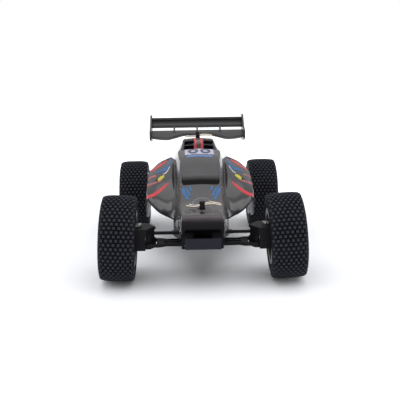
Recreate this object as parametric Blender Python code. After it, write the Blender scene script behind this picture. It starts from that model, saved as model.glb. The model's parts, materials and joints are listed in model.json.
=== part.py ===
"""Off-road remote control buggy, about 1:18 scale, as separate pieces.

Lengths below are millimetres and each mesh is scaled to metres when it is made. The drawing is made
with x to the car's left, y running back from the front axle and z up from the ground. The nose points
to -Y, and DRAWING_SHIFT puts the finished car's origin under the middle of its bounding box.
"""

import math

import bmesh
import bpy
import numpy as np
from mathutils import Matrix, Vector

MM = 0.001
GAP = 0.3  # between pieces that touch

# Driving dimensions
WHEELBASE = 168.0
TYRE_RADIUS = 36.0
TYRE_WIDTH = 29.5
TREAD_HALF = TYRE_WIDTH / 2 - 2.2  # half the width of the tread's flat part
RIM_RADIUS = 23.0
DRAWING_SHIFT = -85.0

# Middles of the left wheels. The front ones lean in at the top and point in a little at the front
CAMBER = math.radians(3.3)
TOE = math.radians(1.2)
FRONT_HUB = (70.0, 0.0, TYRE_RADIUS * math.cos(CAMBER) + TREAD_HALF * math.sin(CAMBER))
REAR_HUB = (68.0, WHEELBASE, TYRE_RADIUS)

# Front suspension: two equal links on each side keep the steering carrier upright
LINK_INNER_X = 14.5
LINK_OUTER_X = 43.5
LOWER_LINK_Z = 32.0
UPPER_LINK_Z = 40.5
KINGPIN_X = 53.0
BULKHEAD_FLOOR = 29.0
BULKHEAD_HALF = 9.6  # front to rear

# Steering
TIE_ROD_Z = 37.0
KNUCKLE_ARM = 13.0  # kingpin to the stud of the steering arm
TIE_ROD_Y = 12.6
TIE_ROD_INNER_X = KINGPIN_X - (LINK_OUTER_X - LINK_INNER_X)
SERVO_Y = 23.6

# Rear swing unit
SWING_Y, SWING_Z = 126.0, 30.0
MODULE = 0.6
MOTOR_Y, MOTOR_Z = 142.4, 41.0
IDLER_Y, IDLER_Z = 156.0, 44.0
REAR_SPRING_X, REAR_SPRING_Y = 13.0, 158.0
COVER_TOP = 58.0
BRIDGE_Z = 78.0  # underside of the rear tower's bridge

# Body shell and wing
SHELL_WALL = 1.0
FRONT_POST_Y, FRONT_CLIP_Z = -10.0, 66.2
REAR_POST_Y, REAR_CLIP_Z = 160.0, 99.6
WING_HALF, WING_REAR = 51.0, 206.26

TYRE_SEGMENTS = 32
RIM_SEGMENTS = 24

COLOURS = {
    "black_plastic": ((0.018, 0.018, 0.020), 0.45, 0.0),
    "grey_plastic": ((0.030, 0.031, 0.042), 0.42, 0.0),
    "wing_plastic": ((0.060, 0.057, 0.062), 0.40, 0.0),
    "shell": ((0.085, 0.078, 0.085), 0.18, 0.0),
    "rubber": ((0.012, 0.012, 0.013), 0.75, 0.0),
    "steel": ((0.62, 0.60, 0.57), 0.30, 1.0),
    "bronze": ((0.55, 0.36, 0.18), 0.35, 1.0),
    "nylon": ((0.75, 0.74, 0.70), 0.45, 0.0),
    "battery": ((0.05, 0.16, 0.42), 0.35, 0.0),
    "circuit": ((0.02, 0.17, 0.07), 0.50, 0.0),
}


def clear_scene():
    for obj in list(bpy.data.objects):
        bpy.data.objects.remove(obj, do_unlink=True)


def material(name, kind):
    """A Principled material of its own for one piece."""
    colour, roughness, metallic = COLOURS[kind]
    made = bpy.data.materials.new(name)
    made.use_nodes = True
    shader = made.node_tree.nodes["Principled BSDF"]
    shader.inputs["Base Color"].default_value = (*colour, 1.0)
    shader.inputs["Roughness"].default_value = roughness
    shader.inputs["Metallic"].default_value = metallic
    made.diffuse_color = (*colour, 1.0)
    return made


def from_bmesh(mesh_edit, name):
    """A new object from a bmesh drawn in millimetres, with its faces pointing out."""
    bmesh.ops.recalc_face_normals(mesh_edit, faces=mesh_edit.faces)
    for vertex in mesh_edit.verts:
        vertex.co = Vector((vertex.co.x, vertex.co.y + DRAWING_SHIFT, vertex.co.z)) * MM
    mesh = bpy.data.meshes.new(name)
    mesh_edit.to_mesh(mesh)
    mesh_edit.free()
    obj = bpy.data.objects.new(name, mesh)
    bpy.context.scene.collection.objects.link(obj)
    return obj


def box(low, high, name="box"):
    edit = bmesh.new()
    bmesh.ops.create_cube(edit, size=1.0)
    for vertex in edit.verts:
        vertex.co = Vector([low[i] if vertex.co[i] < 0 else high[i] for i in range(3)])
    return from_bmesh(edit, name)


def placed(axis, along, across, up):
    """A drawing point from its distance along an axis and its two other coordinates in X, Y, Z order."""
    if axis == "x":
        return Vector((along, across, up))
    if axis == "y":
        return Vector((across, along, up))
    return Vector((across, up, along))


def prism(outline, axis, start, end, name="prism"):
    """A flat outline pushed along an axis. Its points are (y, z), (x, z) or (x, y) for x, y and z."""
    edit = bmesh.new()
    rings = [[edit.verts.new(placed(axis, at, a, b)) for a, b in outline] for at in (start, end)]
    count = len(outline)
    for i in range(count):
        j = (i + 1) % count
        edit.faces.new((rings[0][i], rings[0][j], rings[1][j], rings[1][i]))
    edit.faces.new(rings[0][::-1])
    edit.faces.new(rings[1])
    return from_bmesh(edit, name)


def circle_points(radius, segments, centre=(0.0, 0.0), flat=False):
    """Points of a circle. With flat, its sides and not its corners touch the radius, at top and bottom."""
    reach = radius / math.cos(math.pi / segments) if flat else radius
    turn = math.pi / segments if flat else 0.0
    angles = [turn + 2 * math.pi * i / segments for i in range(segments)]
    return [(centre[0] + reach * math.cos(a), centre[1] + reach * math.sin(a)) for a in angles]


def rod(axis, start, end, centre, radius, segments=12, name="rod"):
    return prism(circle_points(radius, segments, centre), axis, start, end, name)


def turned(profile, axis, centre, segments, name="turned", flat=False):
    """A closed profile of (distance along the axis, radius) points turned about the axis."""
    reach = 1.0 / math.cos(math.pi / segments) if flat else 1.0
    turn = math.pi / segments if flat else 0.0
    edit = bmesh.new()
    rings = []
    for i in range(segments):
        angle = turn + 2 * math.pi * i / segments
        a, b = math.cos(angle) * reach, math.sin(angle) * reach
        ring = [
            edit.verts.new(placed(axis, along, centre[0] + a * radius, centre[1] + b * radius))
            for along, radius in profile
        ]
        rings.append(ring)
    for i in range(segments):
        here, after = rings[i], rings[(i + 1) % segments]
        for j in range(len(profile)):
            k = (j + 1) % len(profile)
            edit.faces.new((here[j], here[k], after[k], after[j]))
    return from_bmesh(edit, name)


def tube(path, radius, sides, name="tube"):
    """A round wire along a list of points, with flat ends."""
    points = [Vector(p) for p in path]
    edit = bmesh.new()
    rings = []
    side = None
    for i, point in enumerate(points):
        ahead = points[min(i + 1, len(points) - 1)] - points[max(i - 1, 0)]
        ahead.normalize()
        if side is None:
            side = ahead.orthogonal().normalized()
        side = (side - ahead * side.dot(ahead)).normalized()
        other = ahead.cross(side)
        angles = [2 * math.pi * k / sides for k in range(sides)]
        rings.append([
            edit.verts.new(point + (side * math.cos(a) + other * math.sin(a)) * radius) for a in angles
        ])
    for here, after in zip(rings, rings[1:]):
        for k in range(sides):
            m = (k + 1) % sides
            edit.faces.new((here[k], here[m], after[m], after[k]))
    edit.faces.new(rings[0])
    edit.faces.new(rings[-1])
    return from_bmesh(edit, name)


def combine(target, tool, operation):
    """Applies an exact Boolean to the target and deletes the tool."""
    modifier = target.modifiers.new(operation.lower(), "BOOLEAN")
    modifier.operation = operation
    modifier.object = tool
    graph = bpy.context.evaluated_depsgraph_get()
    result = bpy.data.meshes.new_from_object(target.evaluated_get(graph))
    target.modifiers.clear()
    target.data = result
    bpy.data.objects.remove(tool, do_unlink=True)
    return target


def join(target, *pieces):
    for piece in pieces:
        combine(target, piece, "UNION")
    return target


def cut(target, *cutters):
    for cutter in cutters:
        combine(target, cutter, "DIFFERENCE")
    return target


def mirrored(obj):
    """The same piece for the other side of the car."""
    edit = bmesh.new()
    edit.from_mesh(obj.data)
    for vertex in edit.verts:
        vertex.co.x = -vertex.co.x
    bmesh.ops.reverse_faces(edit, faces=edit.faces)
    mesh = bpy.data.meshes.new(obj.name)
    edit.to_mesh(mesh)
    edit.free()
    copy = bpy.data.objects.new(obj.name, mesh)
    bpy.context.scene.collection.objects.link(copy)
    return copy


def finish(obj, name, kind, origin=(0.0, 0.0, 0.0), smooth=True):
    """Names a piece, gives it its material and moves its origin to a drawing point."""
    obj.name = name
    obj.data.name = name
    obj.data.materials.clear()
    obj.data.materials.append(material(name, kind))
    point = Vector((origin[0], origin[1] + DRAWING_SHIFT, origin[2])) * MM
    obj.data.transform(Matrix.Translation(-point))
    obj.location = point
    if smooth:
        obj.data.shade_smooth()
        obj.data.set_sharp_from_angle(angle=math.radians(35))
    return obj


def finish_pair(obj, name, kind, origin=(0.0, 0.0, 0.0)):
    """Finishes a piece of the left side, and its mirror image on the right."""
    other = mirrored(obj)
    finish(obj, name + "_left", kind, origin)
    finish(other, name + "_right", kind, (-origin[0], origin[1], origin[2]))


def coil(x, y, low, high, radius, wire, turns, name):
    """A compression spring standing on end."""
    steps = int(turns * 8)
    path = []
    for i in range(steps + 1):
        angle = 2 * math.pi * turns * i / steps
        z = low + wire + (high - low - 2 * wire) * i / steps
        path.append((x + radius * math.cos(angle), y + radius * math.sin(angle), z))
    return tube(path, wire, 5, name)


# Chassis ----------------------------------------------------------------------------------------

TUB_OUTLINE = [
    (0, 5), (12, 5), (14.5, 8), (15.5, 14), (20, 34), (25, 46), (25, 112), (22, 118), (0, 118),
]
TUB_BOTTOM, TUB_FLOOR, TUB_TOP = 24.0, 26.2, 38.0
DOOR_X, DOOR_FRONT, DOOR_BACK = 17.7, 62.0, 106.0


def both_sides(half):
    """A closed outline from its x >= 0 half, which runs from the front centre to the back centre."""
    return half + [(-x, y) for x, y in reversed(half) if x > 0]


def chassis_tub():
    tub = prism(both_sides(TUB_OUTLINE), "z", TUB_BOTTOM, TUB_FLOOR)
    outer = [(0, 30), (18.6, 30), (20, 34), (25, 46), (25, 112), (23.6, 115.6), (0, 115.6)]
    inner = [(0, 32), (17.4, 32), (18.2, 34.8), (23.2, 46.6), (23.2, 111.5), (22.3, 113.6), (0, 113.6)]
    wall = prism(both_sides(outer), "z", TUB_BOTTOM + 1, TUB_TOP)
    cut(wall, prism(both_sides(inner), "z", TUB_BOTTOM, TUB_TOP + 1))
    # the rear wall is open between the tower's plates, where the gearbox swings
    cut(wall, box((-23, 104, TUB_FLOOR), (23, 120, TUB_TOP + 1)))
    rib = box((-14, 11.6, TUB_BOTTOM + 1), (14, 13.6, TIE_ROD_Z - 1.5))
    join(tub, wall, rib)
    cut(
        tub,
        box((-DOOR_X - GAP, DOOR_FRONT - GAP, 20), (DOOR_X + GAP, DOOR_BACK + GAP, 30)),
        box((-14.2, 39.8, 20), (-7.8, 50.2, 30)),
    )
    finish(tub, "chassis_tub", "black_plastic")


def front_bulkhead():
    """A U of floor, front wall and rear wall that the front arms and links pivot in."""
    out, wall = BULKHEAD_HALF, BULKHEAD_HALF - 1.8
    low = TUB_FLOOR + GAP
    u_shape = [
        (-out, 28.9), (-wall, 28.2), (4, low), (11.3, low), (11.3, 28.6), (out, 28.6),
        (out, 43), (wall, 43), (wall, BULKHEAD_FLOOR), (-wall, BULKHEAD_FLOOR), (-wall, 43), (-out, 43),
    ]
    bulkhead = prism(u_shape, "x", -17.5, 17.5)
    for side in (-1, 1):
        cut(
            bulkhead,
            rod("y", -12, 12, (side * LINK_INNER_X, LOWER_LINK_Z), 1.3),
            rod("y", -12, 12, (side * LINK_INNER_X, UPPER_LINK_Z), 1.3),
        )
    finish(bulkhead, "front_bulkhead", "black_plastic")

    cap = box((-17, -11.5, 43.3), (17, 12, 45.5))
    post = rod("z", 45, 69.4, (0, FRONT_POST_Y), 2.3, 16)
    join(cap, post)
    cut(cap, rod("x", -5, 5, (FRONT_POST_Y, FRONT_CLIP_Z), 1.05))
    finish(cap, "bulkhead_cap", "black_plastic")


def front_bumper():
    plate = box((-14.5, -30, 34.6), (14.5, -28, 43.4))
    for side in (-1, 1):
        xs = sorted((side * 13, side * 14.5))
        join(plate, box((xs[0], -29, 34.6), (xs[1], -23, 43.4)))
    join(
        plate,
        box((-8, -29, 36.5), (8, -10.5, 39.5)),
        box((-8, -11.9, 30), (8, -9.9, 39.5)),
    )
    finish(plate, "front_bumper", "grey_plastic")


def power_parts():
    battery = box((-16, 62, 26.8), (16, 106, 43))
    bevel(battery, 3.0)
    finish(battery, "battery_pack", "battery")
    door = box((-DOOR_X, DOOR_FRONT, TUB_BOTTOM), (DOOR_X, DOOR_BACK, TUB_FLOOR))
    finish(door, "battery_door", "black_plastic")

    board = box((-13, 66, 43.3), (13, 100, 44.9))
    chips = ((-9, 70, 0, 80, 46.6), (3, 69, 10, 77, 48.0), (-4, 84, 8, 95, 47.2))
    for x0, y0, x1, y1, top in chips:
        join(board, box((x0, y0, 44.5), (x1, y1, top)))
    finish(board, "receiver_board", "circuit")

    switch = box((-15.5, 38.5, TUB_FLOOR + GAP), (-6.5, 51.5, 32))
    cut(switch, box((-13.3, 40.9, 24), (-8.7, 49.1, 29)))
    finish(switch, "power_switch", "grey_plastic")
    knob = box((-13, 41.2, TUB_FLOOR), (-9, 44.8, 28.6))
    join(knob, box((-12, 42, TUB_BOTTOM - 1.2), (-10, 44, 27)))
    finish(knob, "switch_knob", "nylon", (-11, 43, TUB_BOTTOM))


def bevel(obj, width, segments=2):
    modifier = obj.modifiers.new("bevel", "BEVEL")
    modifier.width = width * MM
    modifier.segments = segments
    modifier.limit_method = "ANGLE"
    graph = bpy.context.evaluated_depsgraph_get()
    obj.data = bpy.data.meshes.new_from_object(obj.evaluated_get(graph))
    obj.modifiers.clear()
    return obj


# Steering ---------------------------------------------------------------------------------------

HORN_LENGTH = SERVO_Y - TIE_ROD_Y


def steering():
    servo = box((-11.5, 17, TUB_FLOOR + GAP), (11.5, 30, 37.2))
    cut(servo, rod("z", 30, 40, (0, SERVO_Y), 2.3))
    finish(servo, "steering_servo", "grey_plastic")

    horn = rod("z", 32, 40.6, (0, SERVO_Y), 2.0)
    join(
        horn,
        box((-1.8, TIE_ROD_Y, 38.8), (1.8, SERVO_Y, 40.4)),
        rod("z", 38.8, 40.5, (0, TIE_ROD_Y), 1.8),
        rod("z", 35.6, 40.2, (0, TIE_ROD_Y), 0.9),
    )
    finish(horn, "servo_horn", "nylon", (0, SERVO_Y, TIE_ROD_Z))

    low, high = TIE_ROD_Z - 1.1, TIE_ROD_Z + 1.1
    reach = TIE_ROD_INNER_X
    link = box((-reach + 2.9, TIE_ROD_Y - 1, low), (reach - 2.9, TIE_ROD_Y + 1, high))
    join(link, box((-4, TIE_ROD_Y - 2.2, low), (4, TIE_ROD_Y + 3.4, high)))
    cut(link, box((-1.3, TIE_ROD_Y - 1.3, low - 1), (1.3, TIE_ROD_Y + 2.3, high + 1)))
    for side in (-1, 1):
        # a fork at each end carries the cross pin that the tie rod's eye turns on
        for edge in (-1, 1):
            y = TIE_ROD_Y + edge * 2.0
            join(link, box((side * reach - 2, y - 0.6, low), (side * reach + 2, y + 0.6, high)))
        middle = sorted((side * (reach - 2), side * (reach - 4)))
        join(link, box((middle[0], TIE_ROD_Y - 2.6, low), (middle[1], TIE_ROD_Y + 2.6, high)))
        join(link, rod("y", TIE_ROD_Y - 2.2, TIE_ROD_Y + 2.2, (side * reach, TIE_ROD_Z), 0.7, 8))
    finish(link, "steering_link", "black_plastic", (0, TIE_ROD_Y, TIE_ROD_Z))

    tie = rod("x", reach + 0.6, KINGPIN_X - 2.4, (TIE_ROD_Y, TIE_ROD_Z), 0.95, 10)
    join(tie, rod("y", TIE_ROD_Y - 1.1, TIE_ROD_Y + 1.1, (reach, TIE_ROD_Z), 1.75, 12))
    join(tie, rod("z", TIE_ROD_Z - 1, TIE_ROD_Z + 1, (KINGPIN_X, TIE_ROD_Y), 3.4, 16))
    cut(
        tie,
        rod("y", TIE_ROD_Y - 2, TIE_ROD_Y + 2, (reach, TIE_ROD_Z), 1.0, 8),
        rod("z", TIE_ROD_Z - 2, TIE_ROD_Z + 2, (KINGPIN_X, TIE_ROD_Y), 2.0, 16),
    )
    finish_pair(tie, "tie_rod", "black_plastic", (reach, TIE_ROD_Y, TIE_ROD_Z))


# Front suspension -------------------------------------------------------------------------------

def lower_arm():
    half = BULKHEAD_HALF - 1.8 - GAP
    arm = rod("y", -half, half, (LINK_INNER_X, LOWER_LINK_Z), 2.5, 16)
    outline = [
        (15, -7.2), (30, -6.6), (36, -9.4), (46.1, -9.4), (46.1, 9.4), (36, 9.4), (30, 6.6), (15, 7.2),
    ]
    join(arm, prism(outline, "z", LOWER_LINK_Z - 1.4, LOWER_LINK_Z + 1.4))
    cut(
        arm,
        box((38.2, -7.0, 20), (50, 7.0, 40)),
        box((20, -4.6, 20), (32.5, -1.2, 40)),
        box((20, 1.2, 20), (32.5, 4.6, 40)),
        rod("y", -12, 12, (LINK_INNER_X, LOWER_LINK_Z), 1.3, 12),
    )
    # stub pins on the fork snap into the steering carrier
    for side in (-1, 1):
        ends = sorted((side * 9.0, side * 5.4))
        join(arm, rod("y", ends[0], ends[1], (LINK_OUTER_X, LOWER_LINK_Z), 1.1, 12))
    finish_pair(arm, "lower_arm", "black_plastic", (LINK_INNER_X, 0, LOWER_LINK_Z))
    pin = rod("y", -BULKHEAD_HALF - 0.7, BULKHEAD_HALF, (LINK_INNER_X, LOWER_LINK_Z), 1.0, 12)
    finish_pair(pin, "arm_pin", "steel")


SPRING_SEAT_X = 6.5
ROCKER_BOTTOM = 38.5


def upper_link():
    """A thin link whose inboard end is a rocker that presses on a small spring."""
    link = rod("y", -4.2, 4.2, (LINK_INNER_X, UPPER_LINK_Z), 2.3, 16)
    join(
        link,
        box((LINK_INNER_X, -1.3, UPPER_LINK_Z - 1.1), (LINK_OUTER_X - 1.6, 1.3, UPPER_LINK_Z + 1.1)),
        rod("y", -1.3, 1.3, (LINK_OUTER_X, UPPER_LINK_Z), 2.2, 14),
        box((SPRING_SEAT_X - 3, -3.2, ROCKER_BOTTOM), (LINK_INNER_X, 3.2, ROCKER_BOTTOM + 2.4)),
    )
    cut(link, rod("y", -3, 3, (LINK_OUTER_X, UPPER_LINK_Z), 1.35, 12))
    # trunnions that turn in the bulkhead's walls
    for side in (-1, 1):
        ends = sorted((side * 3.5, side * BULKHEAD_HALF))
        join(link, rod("y", ends[0], ends[1], (LINK_INNER_X, UPPER_LINK_Z), 1.0, 12))
    finish_pair(link, "upper_link", "black_plastic", (LINK_INNER_X, 0, UPPER_LINK_Z))
    spring = coil(SPRING_SEAT_X, 0, BULKHEAD_FLOOR + GAP, ROCKER_BOTTOM - GAP, 2.4, 0.4, 4.5, "spring")
    finish_pair(spring, "front_spring", "steel")


KNUCKLE_LOW, KNUCKLE_HIGH = 31.3, 42.7


def lean(obj):
    """Tilts a piece of the front left wheel by its camber and toe, about the middle of the wheel."""
    hub = Vector((FRONT_HUB[0], FRONT_HUB[1] + DRAWING_SHIFT, FRONT_HUB[2])) * MM
    tilt = Matrix.Rotation(-TOE, 4, "Z") @ Matrix.Rotation(-CAMBER, 4, "Y")
    obj.data.transform(Matrix.Translation(hub) @ tilt @ Matrix.Translation(-hub))
    return obj


def carrier():
    """The six-sided block at the end of the arms, hollow behind for the steering knuckle."""
    low, high = 28.3, 46.4
    corners = [
        (KINGPIN_X - 14, 0), (KINGPIN_X - 6.5, -10.6), (KINGPIN_X + 6.5, -10.6),
        (KINGPIN_X + 12, 0), (KINGPIN_X + 6.5, 10.6), (KINGPIN_X - 6.5, 10.6),
    ]
    block = prism(corners, "z", low, high)
    cut(block, box((KINGPIN_X + 3.8, -15, 20), (70, 15, 50)))
    cut(block, box((KINGPIN_X - 5.6, -7.6, KNUCKLE_LOW - GAP), (64, 20, KNUCKLE_HIGH + GAP)))
    for side in (-1, 1):
        ys = sorted((side * 6.6, side * 14))
        cut(block, box((36, ys[0], 20), (LINK_OUTER_X + 3.9, ys[1], 39.4)))
    cut(
        block,
        box((30, -1.7, 36.9), (LINK_OUTER_X + 3.3, 1.7, 44.3)),
        rod("y", -15, 15, (LINK_OUTER_X, LOWER_LINK_Z), 1.4, 12),
        rod("z", 20, 50, (KINGPIN_X, 0), 1.7, 12),
    )
    join(block, rod("y", -3, 3, (LINK_OUTER_X, UPPER_LINK_Z), 0.9, 10))
    finish_pair(block, "steering_carrier", "black_plastic", (LINK_OUTER_X, 0, LOWER_LINK_Z))

    screw = rod("z", low - 0.3, high + 1, (KINGPIN_X, 0), 1.3, 12)
    join(screw, rod("z", high + GAP, high + 2.4, (KINGPIN_X, 0), 2.7, 16))
    cut(screw, box((KINGPIN_X - 0.4, -2, high + 1.7), (KINGPIN_X + 0.4, 2, high + 4)))
    cut(screw, box((KINGPIN_X - 2, -0.4, high + 1.7), (KINGPIN_X + 2, 0.4, high + 4)))
    finish_pair(screw, "kingpin_screw", "steel")


def knuckle():
    body = rod("z", KNUCKLE_LOW, KNUCKLE_HIGH, (KINGPIN_X, 0), 4.5, 16)
    axle_centre = (0, FRONT_HUB[2])
    join(
        body,
        lean(rod("x", KINGPIN_X, FRONT_HUB[0] + 8.5, axle_centre, 2.0, 16)),
        lean(rod("x", KINGPIN_X + 3, FRONT_HUB[0] - 10.8, axle_centre, 4.0, 16)),
        box((KINGPIN_X - 2.4, 2, 33.2), (KINGPIN_X + 2.4, KNUCKLE_ARM + 2.4, 35.4)),
        rod("z", 34, 39.2, (KINGPIN_X, KNUCKLE_ARM), 1.1, 10),
    )
    cut(body, rod("z", 20, 50, (KINGPIN_X, 0), 1.65, 12))
    finish_pair(body, "steering_knuckle", "black_plastic", (KINGPIN_X, 0, LOWER_LINK_Z))


# Wheels -----------------------------------------------------------------------------------------

def finish_wheel_piece(obj, hub, name, kind):
    if hub == FRONT_HUB:
        lean(obj)
    finish_pair(obj, name, kind, hub)


def rim(hub, bore, name):
    """A deep black rim: barrel, dished disc with six openings, and hub."""
    outer, inner = RIM_RADIUS - GAP, RIM_RADIUS - 3.0
    half = TYRE_WIDTH / 2 - 0.6
    profile = [
        (-half, outer + 1.0), (-half, inner), (2.0, inner), (0.8, 5.0), (-10.4, 5.0), (-10.4, bore),
        (4.8, bore), (4.8, 5.0), (6.0, inner), (half, inner + 0.6), (half, outer + 1.0),
        (half - 1.6, outer), (-half + 1.6, outer),
    ]
    profile = [(hub[0] + along, radius) for along, radius in profile]
    wheel = turned(profile, "x", hub[1:], RIM_SEGMENTS)
    for i in range(6):
        angle = math.pi / 3 * i
        centre = (hub[1] + 12.4 * math.cos(angle), hub[2] + 12.4 * math.sin(angle))
        cut(wheel, rod("x", hub[0] - 3, hub[0] + 10, centre, 4.2, 8))
    finish_wheel_piece(wheel, hub, name, "black_plastic")


def tyre(hub, name):
    """A hollow rubber carcass, open towards the rim, out to the tops of its tread pins."""
    half, bead = TYRE_WIDTH / 2, RIM_RADIUS + 1.3
    profile = [
        (-half + 1.2, bead), (-half, bead + 2.0), (-half, TYRE_RADIUS - 3.5), (-TREAD_HALF, TYRE_RADIUS),
        (TREAD_HALF, TYRE_RADIUS), (half, TYRE_RADIUS - 3.5), (half, bead + 2.0), (half - 1.2, bead),
        (half - 3.4, bead), (half - 3.2, TYRE_RADIUS - 5.0), (-half + 3.2, TYRE_RADIUS - 5.0),
        (-half + 3.4, bead),
    ]
    profile = [(hub[0] + along, radius) for along, radius in profile]
    ring = turned(profile, "x", hub[1:], TYRE_SEGMENTS, flat=True)
    finish_wheel_piece(ring, hub, name, "rubber")


def wheel_nut(hub, bore, name):
    nut = prism(circle_points(3.9, 6, hub[1:]), "x", hub[0] + 5.1, hub[0] + 7.8)
    cut(nut, rod("x", 60, 90, hub[1:], bore, 16))
    finish_wheel_piece(nut, hub, name, "steel")


def wheels():
    rim(FRONT_HUB, 3.8, "front_rim")
    tyre(FRONT_HUB, "front_tyre")
    wheel_nut(FRONT_HUB, 2.3, "front_wheel_nut")
    inner, outer = FRONT_HUB[0] - 10.4, FRONT_HUB[0] + 4.8
    bush = turned([(inner, 2.35), (inner, 3.45), (outer, 3.45), (outer, 2.35)], "x", FRONT_HUB[1:], 16)
    finish_wheel_piece(bush, FRONT_HUB, "front_bush", "bronze")
    rim(REAR_HUB, 1.9, "rear_rim")
    tyre(REAR_HUB, "rear_tyre")
    wheel_nut(REAR_HUB, 1.85, "rear_wheel_nut")


# Rear swing unit --------------------------------------------------------------------------------

def gear(teeth, centre, start, end, mesh_angle, gap_first=False):
    """A spur gear with a tooth, or with gap_first a gap, facing along mesh_angle in the YZ plane."""
    root, tip = MODULE * (teeth / 2 - 1.2), MODULE * (teeth / 2 + 0.8)
    pitch = math.pi / teeth
    offset = mesh_angle + (pitch if gap_first else 0.0)
    outline = []
    for i in range(teeth):
        middle = offset + 2 * pitch * i
        for share, radius in ((-0.62, root), (-0.20, tip), (0.20, tip), (0.62, root)):
            angle = middle + share * pitch
            outline.append((centre[0] + radius * math.cos(angle), centre[1] + radius * math.sin(angle)))
    return prism(outline, "x", start, end)


def swing_unit():
    outer = [(130, 22.6), (182, 22.6), (182, 47), (130, 47)]
    inner = [(131.8, 24.2), (180.2, 24.2), (180.2, 50), (131.8, 50)]
    case = prism(outer, "x", -19.4, 19.4)
    cut(case, prism(inner, "x", -17.6, 17.6))
    join(case, rod("x", -19.4, 19.4, (SWING_Y, SWING_Z), 3.3, 16))
    join(case, box((-19.4, SWING_Y, 27.5), (19.4, 130.6, 32.5)))
    cut(
        case,
        rod("x", -25, 25, (SWING_Y, SWING_Z), 1.8, 14),
        rod("x", -25, 25, REAR_HUB[1:], 3.5, 16),
        rod("x", -25, 25, (IDLER_Y, IDLER_Z), 1.5, 12),
    )
    finish(case, "gearbox_case", "black_plastic", (0, SWING_Y, SWING_Z))

    top = [(130, 47.3), (182, 47.3), (182, 50.5), (170, COVER_TOP), (141, COVER_TOP), (130, 53)]
    hollow = [(131.8, 40), (180.2, 40), (180.2, 49.6), (169.4, 56.3), (141.4, 56.3), (131.8, 51.9)]
    cover = prism(top, "x", -19.4, 19.4)
    cut(cover, prism(hollow, "x", -17.6, 17.6))
    for side in (-1, 1):
        join(cover, rod("z", 57, COVER_TOP + 2.5, (side * REAR_SPRING_X, REAR_SPRING_Y), 2.2, 12))
    finish(cover, "gearbox_cover", "black_plastic", (0, SWING_Y, SWING_Z))

    motor = rod("x", -17.2, 6.4, (MOTOR_Y, MOTOR_Z), 9.8, 24)
    join(motor, rod("x", 6, 8, (MOTOR_Y, MOTOR_Z), 3.0, 12))
    cut(motor, rod("x", -10, 9, (MOTOR_Y, MOTOR_Z), 1.3, 10))
    finish(motor, "drive_motor", "steel", (0, MOTOR_Y, MOTOR_Z))

    to_pinion = math.atan2(MOTOR_Z - IDLER_Z, MOTOR_Y - IDLER_Y)
    to_axle = math.atan2(REAR_HUB[2] - IDLER_Z, WHEELBASE - IDLER_Y)
    pinion = gear(10, (MOTOR_Y, MOTOR_Z), 9.4, 12.8, to_pinion + math.pi, gap_first=True)
    join(pinion, rod("x", -8, 10, (MOTOR_Y, MOTOR_Z), 1.0, 10))
    finish(pinion, "motor_pinion", "bronze", (0, MOTOR_Y, MOTOR_Z))

    idler = gear(36, (IDLER_Y, IDLER_Z), 9.4, 12.4, to_pinion)
    join(idler, rod("x", 10, 13, (IDLER_Y, IDLER_Z), 3.0, 12))
    join(idler, gear(12, (IDLER_Y, IDLER_Z), 12.2, 17.0, to_axle))
    cut(idler, rod("x", 0, 20, (IDLER_Y, IDLER_Z), 1.5, 12))
    finish(idler, "idler_gear", "nylon", (0, IDLER_Y, IDLER_Z))
    idler_shaft = rod("x", -19.2, 19.2, (IDLER_Y, IDLER_Z), 1.1, 12)
    finish(idler_shaft, "idler_shaft", "steel", (0, IDLER_Y, IDLER_Z))

    drive = gear(36, REAR_HUB[1:], 13.2, 16.4, to_axle + math.pi, gap_first=True)
    cut(drive, rod("x", 0, 20, REAR_HUB[1:], 1.8, 12))
    finish(drive, "axle_gear", "nylon", (0, *REAR_HUB[1:]))
    shaft = rod("x", -77, 77, REAR_HUB[1:], 1.5, 16)
    finish(shaft, "rear_axle", "steel", (0, *REAR_HUB[1:]))
    bush = turned([(17.9, 1.8), (17.9, 3.2), (22, 3.2), (22, 1.8)], "x", REAR_HUB[1:], 16)
    finish_pair(bush, "axle_bush", "bronze", (0, *REAR_HUB[1:]))
    finish(rod("x", -25.4, 25.4, (SWING_Y, SWING_Z), 1.5, 12), "swing_pin", "steel")

    spring = coil(
        REAR_SPRING_X, REAR_SPRING_Y, COVER_TOP + GAP, BRIDGE_Z - GAP, 4.0, 0.55, 5.0, "spring"
    )
    finish_pair(spring, "rear_spring", "steel")


def rear_tower():
    """Two side plates that hold the swing pin, a bridge over the springs, the rear post and the wing stay."""
    plate = [
        (104, 26.5), (131.5, 26.5), (131.5, 34), (140, 44), (172, BRIDGE_Z - 6), (172, BRIDGE_Z + 3),
        (150, BRIDGE_Z + 3), (122, 44), (104, 37),
    ]
    # the stay stands in front of the wing, with a shelf under its middle
    stay = [
        (168, 80), (172, 80), (184.5, 94.5), (184.5, 96.4), (179.9, 96.4), (179.9, 101.5), (176.5, 101.5),
    ]
    tower = prism(plate, "x", 20.2, 22.4)
    join(tower, prism(plate, "x", -22.4, -20.2))
    join(
        tower,
        box((-21, 149, BRIDGE_Z), (21, 172, BRIDGE_Z + 3)),
        rod("z", BRIDGE_Z + 2, 101.4, (0, REAR_POST_Y), 2.3, 16),
        prism(stay, "x", -1.9, 1.9),
    )
    cut(
        tower,
        rod("x", -30, 30, (SWING_Y, SWING_Z), 1.8, 14),
        rod("x", -5, 5, (REAR_POST_Y, REAR_CLIP_Z), 1.05),
    )
    finish(tower, "rear_tower", "black_plastic")


# Body shell -------------------------------------------------------------------------------------
# Rails of the left half, from the centre line outwards and down. Each rail lists (y, x, z) points, and
# between them it is straight. Ahead of the side pods the outer rails run down the side of the nose.

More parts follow.
